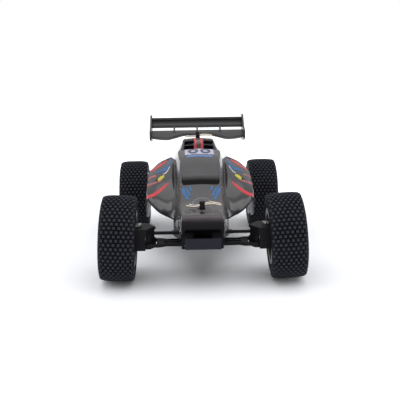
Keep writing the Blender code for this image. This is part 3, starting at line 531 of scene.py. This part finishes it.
CREST_RAIL = [
    (-28, 17.2, 47.4), (-27.2, 17.6, 51.0), (-10, 19.2, 51.0), (20, 21.0, 51.2), (36, 22.2, 50.6),
    (43, 24.6, 51.2), (52, 26.0, 56.6), (64, 26.4, 66.0), (80, 26.7, 75.2), (100, 27.0, 82.6),
    (118, 27.2, 85.0),
    (128, 26.8, 80.6), (134, 26.2, 77.4), (166, 26.2, 75.0),
]
POD_RAIL = [
    (-28, 17.4, 47.2), (-27.2, 17.8, 49.0), (-10, 19.6, 48.6), (20, 21.6, 48.0), (36, 22.9, 47.4),
    (43, 26.0, 47.6), (52, 33.0, 52.6), (64, 39.0, 61.6), (80, 41.0, 70.6), (100, 41.4, 77.0),
    (118, 40.6, 79.0),
    (128, 36.0, 77.0), (134, 26.6, 74.0), (166, 26.5, 72.0),
]
OUTER_RAIL = [
    (-28, 17.5, 47.1), (-27.2, 17.9, 47.9), (-10, 19.9, 47.0), (20, 22.1, 44.8), (36, 23.7, 44.8),
    (43, 26.8, 44.6), (52, 37.0, 48.6), (64, 47.6, 57.0), (74, 50.2, 61.4), (90, 50.4, 65.6),
    (110, 50.2, 70.4),
    (122, 49.0, 70.0), (128, 46.0, 66.0), (134, 26.8, 70.0), (166, 26.7, 69.0),
]
EDGE_RAIL = [
    (-28, 17.6, 47.0), (-27.2, 18.0, 47.0), (-10, 20.1, 45.8), (4, 21.4, 43.4), (20, 22.6, 41.6),
    (36, 24.2, 42.4), (43, 27.4, 42.2), (52, 38.4, 45.8), (64, 48.8, 53.6), (68, 50.2, 51.6),
    (72, 51.0, 46.5),
    (80, 51.2, 36.0), (90, 51.2, 31.0), (110, 51.0, 29.0), (122, 50.8, 30.0), (128, 49.0, 40.0),
    (134, 27.0, 66.0), (166, 26.9, 66.0),
]
RAILS = (TOP_RAIL, SHOULDER_RAIL, SIDE_RAIL, VALLEY_RAIL, CREST_RAIL, POD_RAIL, OUTER_RAIL, EDGE_RAIL)
SHELL_STEP = 0.8  # along the car
STRAIGHT_STEPS, CORNER_STEPS = 7, 5
# how far each rail's corner is rounded, from the shoulder outwards
CORNER_REACH = (1.8, 2.4, 1.2, 2.4, 4.5, 2.0)


def corner_curve(before, corner, after, reach, share=0.45, steps=CORNER_STEPS):
    """A rounded corner between two straight runs, as points of one quadratic arc."""
    start = corner + (before - corner).normalized() * min(reach, share * (before - corner).length)
    end = corner + (after - corner).normalized() * min(reach, share * (after - corner).length)
    curve = []
    for k in range(steps + 1):
        t = k / steps
        curve.append(start * (1 - t) ** 2 + corner * 2 * t * (1 - t) + end * t * t)
    return curve


def half_section(rail_points):
    """A line from the centre line to the lower edge, with its corners rounded."""
    pts = [Vector(p) for p in rail_points]
    line = []
    current = pts[0]
    for i in range(1, len(pts) - 1):
        arc = corner_curve(pts[i - 1], pts[i], pts[i + 1], CORNER_REACH[i - 1])
        for k in range(STRAIGHT_STEPS):
            line.append(current.lerp(arc[0], k / STRAIGHT_STEPS))
        line.extend(arc[:-1])
        current = arc[-1]
    for k in range(STRAIGHT_STEPS + 1):
        line.append(current.lerp(pts[-1], k / STRAIGHT_STEPS))
    return line


def step(value, start, end):
    """0 before start, 1 after end, and smooth between them."""
    t = min(1.0, max(0.0, (value - start) / (end - start)))
    return t * t * (3 - 2 * t)


def inside(value, low, high, blend):
    return step(value, low - blend, low) * (1 - step(value, high, high + blend))


def shell_relief(x, y):
    """How far the moulded details stand out of the shell, in millimetres."""
    ax = abs(x)
    out = 0.0
    # the windscreen lies in a frame that stands a little proud
    out -= 0.55 * step(y, 34.2, 35.6) * (1 - step(y, 62.0, 78.0)) * (1 - step(ax, 15.4, 16.8))
    out += 0.45 * step(y, 32.0, 35.0) * (1 - step(y, 74.0, 82.0)) * inside(ax, 17.2, 17.9, 0.7)
    # a round boss under the front post
    away = math.hypot(x, y - FRONT_POST_Y)
    out += 0.9 * (1 - step(away, 5.4, 6.6))
    # two shallow flutes down the bonnet
    out -= 0.45 * inside(y, 2.0, 30.0, 5.0) * inside(ax, 12.2, 13.4, 1.2)
    # the scoop's two mouths
    out -= 2.8 * inside(y, 114.4, 122.5, 0.9) * inside(ax, 5.6, 13.8, 0.6)
    return out


def rail_values(stations):
    """Each rail's (x, z) at every station, the same monotone curve in both."""
    found = []
    for rail in RAILS:
        ys = [p[0] for p in rail]
        xs = pchip(ys, [p[1] for p in rail], stations)
        zs = pchip(ys, [p[2] for p in rail], stations)
        found.append(list(zip(xs, zs)))
    return found


def shell_rows():
    fixed = {float(p[0]) for rail in RAILS for p in rail}
    steps = int((166 + 28) / SHELL_STEP)
    stations = sorted(fixed | {-28 + 194 * k / steps for k in range(steps + 1)})
    kept = [stations[0]]
    for y in stations[1:]:
        if y - kept[-1] > 0.25:
            kept.append(y)
    kept[-1] = stations[-1]
    values = rail_values(kept)
    rows = []
    for index, y in enumerate(kept):
        half = half_section([(rail[index][0], rail[index][1]) for rail in values])
        line = [(-p.x, y, p.y) for p in reversed(half)] + [(p.x, y, p.y) for p in half[1:]]
        rows.append(line)
    return rows


def detailed(rows):
    """The rows with the moulded details pushed out along the surface's own normals."""
    grid = np.array(rows)
    along = np.gradient(grid, axis=0)
    across = np.gradient(grid, axis=1)
    normals = np.cross(along, across)
    normals /= np.maximum(np.linalg.norm(normals, axis=2, keepdims=True), 1e-9)
    middle = len(rows[0]) // 2
    if normals[len(rows) // 2][middle][2] < 0:
        normals = -normals
    for i, row in enumerate(rows):
        for j, (x, y, z) in enumerate(row):
            if z > 55.0:
                grid[i][j] += normals[i][j] * shell_relief(x, y)
    return grid.tolist()


def cylinder_cutter(centre_y, low, high, radius):
    """An upright cylinder on the centre line."""
    turns = [2 * math.pi * k / 32 for k in range(32)]
    rows = [[(radius * math.cos(a), centre_y + radius * math.sin(a), z) for a in turns] for z in (low, high)]
    return linked("cutter", mesh_of("cutter", *lattice(rows, closed_columns=True, caps=True)))


def applied(obj, *cutters):
    """Takes the cutters' shapes out of the object's evaluated mesh and deletes them."""
    for cutter in cutters:
        modifier = obj.modifiers.new("cut", "BOOLEAN")
        modifier.operation = "DIFFERENCE"
        modifier.object = cutter
    graph = bpy.context.evaluated_depsgraph_get()
    mesh = bpy.data.meshes.new_from_object(obj.evaluated_get(graph))
    obj.modifiers.clear()
    obj.data = mesh
    for cutter in cutters:
        bpy.data.objects.remove(cutter, do_unlink=True)
    return obj


def body_shell():
    rows = detailed(shell_rows())
    points, faces = lattice(rows)
    shell = piece("shell_body", points, faces, LOOKS["shell_plastic"], "chassis", 50.0)
    if sum(polygon.normal.z for polygon in shell.data.polygons) < 0:
        shell.data.flip_normals()
    tree = BVHTree.FromPolygons([Vector(p) for p in points], faces)
    for look in (LINING, NOSE, LINING):
        shell.data.materials.append(look)
    for polygon in shell.data.polygons:
        if polygon.center.y < to_frame((0, -25.6, 0)).y and abs(polygon.center.x) < 17.0 * MM:
            polygon.material_index = 2
    wall = shell.modifiers.new("wall", "SOLIDIFY")
    wall.thickness = SHELL_WALL * MM
    wall.offset = -1.0
    wall.material_offset = 1
    wall.material_offset_rim = 0
    applied(
        shell,
        cylinder_cutter(FRONT_POST_Y, 55, 75, 3.0),
        cylinder_cutter(REAR_POST_Y, 90, 110, 3.2),
    )
    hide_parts("body_shell")
    return tree


def edge_bead(side, name):
    """The black lip that lines the pod's lower front edge."""
    path = [(side * x, y, z) for y, x, z in EDGE_RAIL if 36 <= y <= 72]
    points, faces = wire(through(path, 8), 0.75, 10)
    piece(name, points, faces, LOOKS["black_plastic"], "chassis")


# Printed films on the shell ---------------------------------------------------------------------

FILM_LIFT = 0.09


def on_shell(tree, x, y, lift):
    found = tree.ray_cast(Vector((x, y, 200.0)), Vector((0, 0, -1)))
    point, normal = found[0], found[1]
    if point is None:
        return None
    if normal.z < 0:
        normal = -normal
    return tuple(point + normal * lift)


def sticker(tree, name, row_points, look, lift=FILM_LIFT):
    """A film laid on the shell. Its rows of (x, y) places are dropped onto the surface from above."""
    rows = []
    for row in row_points:
        placed = [on_shell(tree, x, y, lift) for x, y in row]
        if all(placed):
            rows.append(placed)
    points, faces = lattice(rows)
    made = piece(name, points, faces, look, "chassis")
    if sum(polygon.normal.z for polygon in made.data.polygons) < 0:
        made.data.flip_normals()
    return made


def band(tree, name, edge_a, edge_b, look, across=6, steps=20, lift=FILM_LIFT):
    """A film between two smooth edges that have the same number of points."""
    first = through([(x, y, 0) for x, y in edge_a], steps)
    second = through([(x, y, 0) for x, y in edge_b], steps)
    rows = []
    for a, b in zip(first, second):
        spots = [a.lerp(b, k / across) for k in range(across + 1)]
        rows.append([(p.x, p.y) for p in spots])
    return sticker(tree, name, rows, look, lift)


def ring_film(tree, name, centre, outer, inner, look, lift):
    """An oval ring, its axes given as (x, y) half sizes."""
    rows = []
    for k in range(41):
        angle = 2 * math.pi * k / 40
        c, s = math.cos(angle), math.sin(angle)
        row = []
        for t in (0.0, 0.33, 0.66, 1.0):
            half_x = inner[0] + (outer[0] - inner[0]) * t
            half_y = inner[1] + (outer[1] - inner[1]) * t
            row.append((centre[0] + c * half_x, centre[1] + s * half_y))
        rows.append(row)
    return sticker(tree, name, rows, look, lift)


def both_edges(side, points):
    return [(side * x, y) for x, y in points]


def pod_films(tree, side, word):
    def lay(name, a, b, look, lift=FILM_LIFT):
        band(tree, f"film_{name}_{word}", both_edges(side, a), both_edges(side, b), look, lift=lift)

    lay("red_top", [(47.6, 108), (40.6, 106.6), (31.8, 113)], [(46.8, 102), (39.6, 100), (31.2, 107)], RED)
    lay(
        "pink_upper",
        [(50.2, 96), (46.7, 93.4), (41.5, 86.6)],
        [(50.2, 92), (46.5, 89.4), (41.0, 83.4)],
        RED_FADED,
    )
    lay(
        "red_outer",
        [(50.4, 86), (47.1, 80.8), (40.8, 76.4), (36.0, 75.6)],
        [(50.3, 80), (46.9, 76.6), (40.7, 74.2), (35.9, 74.4)],
        RED_FADED,
    )
    lay(
        "red_bold",
        [(50.5, 70.6), (48.6, 66.8), (45.6, 65.1), (41.0, 65.4), (35.8, 67.0), (29.8, 70.4)],
        [(50.3, 68.8), (48.4, 64.4), (45.2, 62.2), (40.0, 61.9), (34.8, 63.8), (29.4, 68.4)],
        RED,
    )
    lay(
        "blue",
        [(41.7, 92.4), (35.6, 92.4), (31.0, 96.0), (28.6, 106.0), (28.2, 120.0)],
        [(41.2, 89.6), (33.6, 87.6), (29.4, 92.0), (27.6, 101.0), (27.4, 114.0)],
        BLUE,
    )
    lay("black_tail", [(41.3, 79.2), (38.9, 80.2)], [(40.2, 74.9), (37.4, 75.2)], BLACK)
    lay(
        "yellow",
        [(39.7, 78.6), (37.0, 81.2), (33.6, 81.4)],
        [(39.2, 75.8), (36.0, 76.2), (33.2, 78.6)],
        YELLOW,
        0.14,
    )
    lay(
        "white_blade",
        [(34.6, 83.4), (31.4, 85.8), (28.4, 92.5)],
        [(34.0, 82.2), (30.9, 84.2), (28.0, 90.9)],
        WHITE,
        0.16,
    )


def bonnet_films(tree, side, word):
    bars = (
        ("outer", [(17.1, 27.6), (15.3, 20.4), (11.8, 11.2)], [(15.3, 32.6), (13.0, 23.7), (10.3, 12.2)]),
        ("inner", [(14.8, 32.9), (13.0, 26.9), (10.4, 16.9)], [(12.4, 30.2), (10.8, 24.4), (8.6, 18.3)]),
        ("tip", [(10.8, 32.1), (9.4, 25.4)], [(9.0, 32.1), (7.6, 26.8)]),
    )
    for name, a, b in bars:
        band(tree, f"film_bonnet_{name}_{word}", both_edges(side, a), both_edges(side, b), BLUE, across=4)


def roof_films(tree):
    def sheet(name, x0, x1, y0, y1, look, lift=FILM_LIFT):
        rows = []
        steps = int((y1 - y0) / 0.5)
        for k in range(steps + 1):
            y = y0 + (y1 - y0) * k / steps
            rows.append([(x0 + (x1 - x0) * m / 20, y) for m in range(21)])
        sticker(tree, name, rows, look, lift)

    sheet("film_number_panel", -13.6, 13.6, 79.2, 97.6, PALE)
    for word, side in SIDES:
        ring_film(tree, f"film_number_ring_{word}", (side * 5.8, 88.4), (4.9, 7.4), (2.3, 2.8), MARK, 0.16)
        sheet(f"film_stripe_{word}", side * 2.1, side * 4.4, 108.6, 141.0, RED)
        sheet(f"film_mouth_{word}", side * 4.9, side * 14.4, 111.4, 123.6, MOUTH)
    sheet("film_blue_strip", -12.0, 12.0, 73.6, 77.0, SKY)
    # the windscreen's foot, near black as a painted dark reflection, with its corners rounded
    rows = []
    for k in range(25):
        t = k / 24
        half = 13.6 + 3.3 * math.sqrt(1 - (1 - min(1.0, t * 2.4)) ** 2)
        row = []
        for m in range(33):
            s = 2 * m / 32 - 1
            top = 49.0 - 1.6 * (1 - s * s)
            row.append((s * half, 34.9 + (top - 34.9) * t))
        rows.append(row)
    sticker(tree, "film_windscreen_foot", rows, screen_foot_painted_reflection())


# Wing -------------------------------------------------------------------------------------------

WING_SPAN = 50.0
PLANE_LEAD = [
    (0, 180.5, 97.8), (13, 180.0, 97.6), (22, 175.0, 96.0), (33, 172.0, 94.0), (42, 172.8, 94.6),
    (50, 174.0, 95.8),
]
PLANE_TRAIL = (190.5, 101.4)
FLAP_LEAD, FLAP_TRAIL = (192.3, 104.6), (204.0, 113.0)
END_PLATE = [
    (173.2, 94.4), (183, 91.0), (206.26, 88.4), (206.26, 117.6), (199.0, 116.6), (186, 105.8), (173.2, 103.0),
]
WING_RIB = [(187.4, 100.2), (190.2, 100.8), (195.2, 104.4), (196.4, 106.2), (192.8, 105.4), (188.6, 102.6)]


def foil(front, rear, half_thickness, sag):
    """A closed section: rounded nose, thin tail, bowed down by sag."""
    front, rear = Vector(front), Vector(rear)
    run = (rear - front).normalized()
    up = Vector((-run.y, run.x))
    upper, lower = [], []
    for k in range(15):
        t = (1 - math.cos(math.pi * k / 14)) / 2
        middle = front.lerp(rear, t) - up * sag * 4 * t * (1 - t)
        thick = half_thickness * (0.30 + 0.70 * math.sqrt(max(0.0, 1 - (2 * min(t * 2.4, 0.5) - 1) ** 2)))
        thick *= 1 - 0.35 * t
        upper.append(middle + up * thick)
        lower.append(middle - up * thick)
    return upper + lower[::-1]


def foil_piece(name, stations):
    rows = []
    for x, front, rear, sag in stations:
        rows.append([(x, p.x, p.y) for p in foil(front, rear, 0.85, sag)])
    points, faces = lattice(rows, closed_columns=True, caps=True)
    made = piece(name, points, faces, LOOKS["wing_plastic"], "chassis", 50.0)
    return made, BVHTree.FromPolygons([Vector(p) for p in points], faces)


def slab(name, outline, x0, x1, width):
    rows = [[(x, y, z) for y, z in outline] for x in (x0, x1)]
    points, faces = lattice(rows, closed_columns=True, caps=True)
    made = piece(name, points, faces, LOOKS["wing_plastic"], "chassis")
    return soften(made, width)


def rounded(outline, reach):
    """The outline with each corner turned into a short arc."""
    pts = [Vector(p) for p in outline]
    line = []
    for i, corner in enumerate(pts):
        arc = corner_curve(pts[i - 1], corner, pts[(i + 1) % len(pts)], reach, 0.4, 4)
        line.extend((p.x, p.y) for p in arc)
    return line


def wing():
    xs = np.linspace(-WING_SPAN + 0.4, WING_SPAN - 0.4, 97)
    lead_y = pchip([p[0] for p in PLANE_LEAD], [p[1] for p in PLANE_LEAD], np.abs(xs))
    lead_z = pchip([p[0] for p in PLANE_LEAD], [p[2] for p in PLANE_LEAD], np.abs(xs))
    plane, surface = foil_piece(
        "wing_main_plane", [(x, (y, z), PLANE_TRAIL, 1.6) for x, y, z in zip(xs, lead_y, lead_z)]
    )
    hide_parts("wing")
    for word, side in SIDES:
        marks = [[(side * x, y) for x in np.linspace(6.0, 12.0, 9)] for y in np.linspace(182.4, 184.4, 5)]
        sticker(surface, f"film_wing_mark_{word}", marks, BLACK, 0.12)
    stations = [(x, FLAP_LEAD, FLAP_TRAIL, 3.2) for x in np.linspace(-49.6, 49.6, 9)]
    foil_piece("wing_flap", stations)[0].data.materials[0] = FLAP
    # a small upright lip stiffens the flap's trailing edge
    y, z = FLAP_TRAIL
    lip = [(y - 0.9, z - 0.9), (y + 0.3, z - 0.2), (y + 0.1, z + 1.3), (y - 0.8, z + 1.3)]
    slab("wing_flap_lip", lip, -49.5, 49.5, 0.25)
    for word, side in SIDES:
        slab(f"wing_end_plate_{word}", rounded(END_PLATE, 2.2), side * 49.4, side * 51.4, 0.45)
    for x in (-25, 0, 25):
        slab(f"wing_rib_{x + 25}", WING_RIB, x - 1.0, x + 1.0, 0.3)


# Wheels -----------------------------------------------------------------------------------------

PIN_ROWS, PIN_PITCH = 66, 3.9
PIN_HEIGHT, PIN_BASE, PIN_TOP = 2.0, 2.3, 1.95


def tread_radius(x):
    """Radius of the tread's outer surface across the tyre, falling off at the shoulders."""
    return TYRE_RADIUS - 0.012 * max(0.0, abs(x) - 4.0) ** 2 - 1.6 * max(0.0, (abs(x) - TREAD_HALF) / 2.2)


def carcass_profile():
    """The tyre's section: tread bed, round shoulders, a sidewall with two rings and a bead."""
    half, bead = TYRE_WIDTH / 2, RIM_RADIUS + 1.3
    bed = TYRE_RADIUS - PIN_HEIGHT
    right = [(0.0, bed + 0.25), (0.25, bed + 0.25), (0.45, bed)]
    right += [(x, bed - 0.004 * x * x) for x in (3.0, 6.0, 9.0, TREAD_HALF - 1.2)]
    for k in range(7):
        angle = math.pi / 2 * k / 6
        right.append((half - 3.0 + 3.0 * math.sin(angle), bed - 3.6 + 3.2 * math.cos(angle)))
    right += [
        (half - 0.05, bed - 5.0), (half + 0.0, bed - 5.3), (half - 0.35, bed - 5.7), (half - 0.45, bed - 7.0),
        (half - 0.1, bed - 7.4), (half - 0.5, bed - 7.9), (half - 0.9, bead + 1.4), (half - 0.7, bead + 0.8),
        (half - 1.5, bead), (half - 3.4, bead), (half - 3.2, TYRE_RADIUS - 5.0), (0.0, TYRE_RADIUS - 5.0),
    ]
    return right + [(-x, r) for x, r in reversed(right) if x > 0]


def pins(hub, side, shift):
    """Small square studs in staggered rows round the tread."""
    points, faces = [], []
    for row in range(PIN_ROWS):
        angle = 2 * math.pi * row / PIN_ROWS + shift
        count = 7 - row % 2
        for column in range(count):
            x = (column - (count - 1) / 2) * PIN_PITCH
            add_stud(points, faces, hub, side, x, angle, (PIN_BASE, PIN_TOP), tread_radius(x))
        # shoulder lugs close the tread at both edges, on the rows between
        if row % 2:
            for edge in (-1, 1):
                add_stud(points, faces, hub, side, edge * 13.1, angle, (2.2, 1.7), TYRE_RADIUS - 1.5)
    return points, faces


def add_stud(points, faces, hub, side, x, angle, sizes, top):
    start = len(points)
    levels = ((top - PIN_HEIGHT - 0.5, sizes[0]), (top - 0.25, sizes[1] + 0.1), (top, sizes[1] - 0.35))
    for radius, size in levels:
        for dx, dt in ((-1, -1), (1, -1), (1, 1), (-1, 1)):
            turn = angle + dt * size / 2 / radius
            along = side * (hub[0] + x + dx * size / 2)
            points.append((along, hub[1] + radius * math.cos(turn), hub[2] + radius * math.sin(turn)))
    for level in range(2):
        for k in range(4):
            m = (k + 1) % 4
            a, b = start + level * 4, start + level * 4 + 4
            faces.append((a + k, a + m, b + m, b + k))
    faces.append(tuple(start + 8 + k for k in range(4)))
    faces.append(tuple(start + k for k in (3, 2, 1, 0)))


def tyre(hub, side, body, node, shift):
    points, faces = turned(carcass_profile(), hub, 96, side)
    carcass = piece(
        node + "_carcass", leaned(points, hub, side), faces, LOOKS["tyre_rubber"], body, 60.0
    )
    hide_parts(node)
    points, faces = pins(hub, side, shift)
    piece(node + "_tread", leaned(points, hub, side), faces, TREAD, body, 30.0)


def rim(hub, side, body, node, bore):
    outer, inner = RIM_RADIUS - 0.3, RIM_RADIUS - 3.0
    half = TYRE_WIDTH / 2 - 0.6
    profile = [
        (-half, outer + 1.0), (-half, inner), (-half + 0.5, inner - 0.2), (1.6, inner - 0.2),
        (2.0, inner - 0.8), (1.0, 6.2), (0.0, 5.0), (-10.2, 5.0), (-10.4, 4.8), (-10.4, bore), (4.8, bore),
        (4.8, 4.7), (4.6, 5.0),
        (5.1, 7.0), (6.0, inner - 0.8), (6.6, inner), (half - 1.0, inner + 0.4), (half, inner + 0.9),
        (half, outer + 1.0), (half - 0.6, outer + 0.8), (half - 1.6, outer), (-half + 1.6, outer),
    ]
    points, faces = turned(profile, hub, 72, side)
    made = piece(
        node + "_wheel", leaned(points, hub, side), faces, LOOKS["rim_plastic"], body, 35.0
    )
    cutters = []
    for i in range(6):
        angle = math.pi / 3 * i
        y = hub[1] + HOLE_CIRCLE * math.cos(angle)
        z = hub[2] + HOLE_CIRCLE * math.sin(angle)
        turns = [math.pi * k / 14 for k in range(28)]
        rows = []
        for x in (hub[0] - 3, hub[0] + 10):
            rows.append([
                (side * x, y + HOLE_RADIUS * math.cos(a), z + HOLE_RADIUS * math.sin(a)) for a in turns
            ])
        points, faces = lattice(rows, closed_columns=True, caps=True)
        cutters.append(linked("cutter", mesh_of("cutter", leaned(points, hub, side), faces)))
    applied(made, *cutters)
    soften(made, 0.22)
    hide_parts(node)


def wheels():
    shifts = random.Random(7)
    for word, side in SIDES:
        tyre(FRONT_HUB, side, f"front_wheel_{word}", f"front_tyre_{word}", shifts.uniform(0.0, 0.1))
        rim(FRONT_HUB, side, f"front_wheel_{word}", f"front_rim_{word}", 3.8)
        tyre(REAR_HUB, side, "rear_wheels", f"rear_tyre_{word}", shifts.uniform(0.0, 0.1))
        rim(REAR_HUB, side, "rear_wheels", f"rear_rim_{word}", 1.9)


# Springs and clips ------------------------------------------------------------------------------

def coil_path(x, y, low, high, radius, gauge, turns):
    """A compression spring standing on end."""
    steps = int(turns * 28)
    path = []
    for i in range(steps + 1):
        share = i / steps
        angle = 2 * math.pi * turns * share
        z = low + gauge + (high - low - 2 * gauge) * share
        path.append((x + radius * math.cos(angle), y + radius * math.sin(angle), z))
    return path


def springs():
    for word, side in SIDES:
        path = coil_path(side * 13.0, 158.0, 58.3, 77.7, 4.0, 0.55, 5.0)
        points, faces = wire(path, 0.55, 10)
        rear = piece(f"rear_coil_{word}", points, faces, LOOKS["steel"], "chassis")
        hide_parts(f"rear_spring_{word}")
        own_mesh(rear)
        path = coil_path(side * 6.5, 0.0, 29.3, 38.2, 2.4, 0.4, 4.5)
        points, faces = wire(path, 0.4, 8)
        front = piece(f"front_coil_{word}", points, faces, LOOKS["steel"], "chassis")
        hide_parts(f"front_spring_{word}")
        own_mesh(front)


def clip(name, node, y, z, turn, lift):
    """A bent wire pin: a straight leg through the post and a wavy leg that grips it."""
    path = [(-13.0, 0.0), (-6.0, 0.0), (2.0, 0.0), (9.0, 0.0)]
    for i in range(7):
        angle = -math.pi / 2 + math.pi * i / 6
        path.append((12.9 + 2.6 * math.cos(angle), 2.6 + 2.6 * math.sin(angle)))
    path += [(7.0, 5.0), (3.6, 3.5), (0.0, 3.45), (-3.6, 3.5), (-8.5, 5.2), (-11.0, 6.6)]
    c, s = math.cos(turn), math.sin(turn)
    route = [(x * c - w * s, y + x * s + w * c, z + lift * math.sin(0.22 * x)) for x, w in path]
    points, faces = wire(through(route, 6), 0.55, 12)
    made = piece(name, points, faces, LOOKS["clip_wire"], "chassis")
    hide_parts(node)


def post_ring():
    """A clear soft ring round the front post. Its back edge leans on the clip."""
    centre, lean_back, radius = Vector((0, FRONT_POST_Y + 4.1, 65.9)), math.radians(28), 7.8
    path = []
    for i in range(49):
        angle = 2 * math.pi * i / 48
        across, along = radius * math.cos(angle), radius * math.sin(angle)
        path.append(centre + Vector((across, along * math.cos(lean_back), along * math.sin(lean_back))))
    rows = []
    for i, point in enumerate(path[:-1]):
        ahead = (path[i + 1] - path[i - 1 if i else -2]).normalized()
        out = (point - centre).normalized()
        other = ahead.cross(out)
        angles = [2 * math.pi * k / 10 for k in range(10)]
        rows.append([tuple(point + out * 0.35 * math.cos(a) + other * 0.35 * math.sin(a)) for a in angles])
    points, faces = lattice(rows, closed_rows=True, closed_columns=True)
    made = Surface("clear_ring")
    made.colour(made.ramp(made.noise(80.0), [(0.3, (0.30, 0.30, 0.33)), (0.7, (0.40, 0.40, 0.44))]))
    made.roughness(made.noise(200.0), 0.12, 0.30)
    made.shader.inputs["Transmission Weight"].default_value = 0.4
    piece("post_ring", points, faces, made.material, "chassis")


# Carried-over CAD nodes -------------------------------------------------------------------------

def dress_cad():
    slots = {row["node"]: row["material_slot"] for row in frame["record"]["subparts"]}
    for name, node in frame["nodes"].items():
        look = PIN_STEEL if name.startswith("arm_pin") else LOOKS[slots[name]]
        node.data.materials.clear()
        node.data.materials.append(look)
        if node.hide_render:
            continue
        weld = node.modifiers.new("weld", "WELD")
        weld.merge_threshold = 0.00001
        soften(node, 0.22)


# Stage ------------------------------------------------------------------------------------------

CAMERA_PLACE = (-0.011418, -0.619105, 0.195194)
CAMERA_TURNS = (0.0185, 0.2334, -0.0147)  # yaw, pitch and roll in radians
SENSOR_WIDTH, FOCAL_LENGTH = 36.0, 59.65


def floor():
    mesh = bpy.data.meshes.new("floor")
    edit = bmesh.new()
    bmesh.ops.create_grid(edit, x_segments=8, y_segments=8, size=12.0)
    edit.to_mesh(mesh)
    edit.free()
    made = Surface("floor_paper")
    made.colour(made.ramp(made.noise(3.0, 4.0), [(0.3, (0.90, 0.91, 0.94)), (0.7, (0.93, 0.94, 0.97))]))
    made.roughness(made.noise(20.0), 0.75, 0.90)
    made.shader.inputs["Specular IOR Level"].default_value = 0.2
    # the paper is lit up away from the car, so that it meets the white room without an edge
    away = made.node("ShaderNodeVectorMath")
    away.operation = "LENGTH"
    made.link(made.place, away.inputs[0])
    glow = made.node("ShaderNodeMapRange")
    glow.interpolation_type = "SMOOTHSTEP"
    glow.inputs["From Min"].default_value = 0.06
    glow.inputs["From Max"].default_value = 0.42
    glow.inputs["To Min"].default_value = 0.0
    glow.inputs["To Max"].default_value = 0.45
    made.link(away.outputs["Value"], glow.inputs["Value"])
    made.link(glow.outputs["Result"], made.shader.inputs["Emission Strength"])
    made.shader.inputs["Emission Color"].default_value = (1.0, 1.0, 1.0, 1.0)
    mesh.materials.append(made.material)
    obj = linked("floor", mesh)
    obj.location.z = -0.0002


def area_light(name, place, target, size, power):
    data = bpy.data.lights.new(name, "AREA")
    data.shape = "RECTANGLE"
    data.size, data.size_y = size
    data.energy = power
    obj = linked(name, data)
    obj.location = place
    obj.rotation_euler = (Vector(target) - Vector(place)).to_track_quat("-Z", "Y").to_euler()


def studio():
    """A white room, brightest overhead and behind, seen as plain white, with soft boxes near the car."""
    world = bpy.data.worlds.new("studio")
    bpy.context.scene.world = world
    world.use_nodes = True
    tree = world.node_tree
    background = tree.nodes["Background"]
    place = tree.nodes.new("ShaderNodeTexCoord")
    share = tree.nodes.new("ShaderNodeVectorMath")
    share.operation = "DOT_PRODUCT"
    share.inputs[1].default_value = (0.0, 0.04, 0.75)
    tree.links.new(place.outputs["Generated"], share.inputs[0])
    lifted = tree.nodes.new("ShaderNodeMath")
    lifted.operation = "ADD"
    lifted.inputs[1].default_value = 0.28
    tree.links.new(share.outputs["Value"], lifted.inputs[0])
    seen = tree.nodes.new("ShaderNodeLightPath")
    brighter = tree.nodes.new("ShaderNodeMath")
    brighter.operation = "MAXIMUM"
    tree.links.new(lifted.outputs["Value"], brighter.inputs[0])
    tree.links.new(seen.outputs["Is Camera Ray"], brighter.inputs[1])
    tree.links.new(brighter.outputs["Value"], background.inputs["Strength"])
    background.inputs["Color"].default_value = (1.0, 1.0, 1.0, 1.0)
    area_light("overhead", (0.0, -0.45, 1.3), (0, -0.45, 0), (1.8, 1.8), 8.0)
    area_light("left_bank", (0.9, -0.1, 0.5), (0, 0, 0.04), (0.6, 0.6), 1.8)
    area_light("right_bank", (-0.9, -0.1, 0.6), (0, 0, 0.04), (0.6, 0.6), 1.8)
    bpy.context.scene.view_settings.view_transform = "Standard"


def camera():
    yaw, pitch, roll = CAMERA_TURNS
    forward = Vector((math.sin(yaw) * math.cos(pitch), math.cos(yaw) * math.cos(pitch), -math.sin(pitch)))
    right = Vector((math.cos(yaw), -math.sin(yaw), 0))
    up = right.cross(forward)
    tilted = math.cos(roll) * right + math.sin(roll) * up
    upward = -math.sin(roll) * right + math.cos(roll) * up
    data = bpy.data.cameras.new("camera")
    data.sensor_width, data.lens = SENSOR_WIDTH, FOCAL_LENGTH
    obj = linked("camera", data)
    turn = Matrix((tilted, upward, -forward)).transposed()
    obj.matrix_world = Matrix.Translation(CAMERA_PLACE) @ turn.to_4x4()
    bpy.context.scene.camera = obj


camera()
studio()
floor()
shell_surface = body_shell()
for side_word, side_sign in SIDES:
    edge_bead(side_sign, f"pod_lip_{side_word}")
    pod_films(shell_surface, side_sign, side_word)
    bonnet_films(shell_surface, side_sign, side_word)
roof_films(shell_surface)
wing()
wheels()
springs()
clip("front_clip_wire", "front_body_clip", FRONT_POST_Y, FRONT_CLIP_Z, math.radians(-4), 1.3)
clip("rear_clip_wire", "rear_body_clip", REAR_POST_Y, REAR_CLIP_Z, math.radians(5), 0.8)
post_ring()
dress_cad()
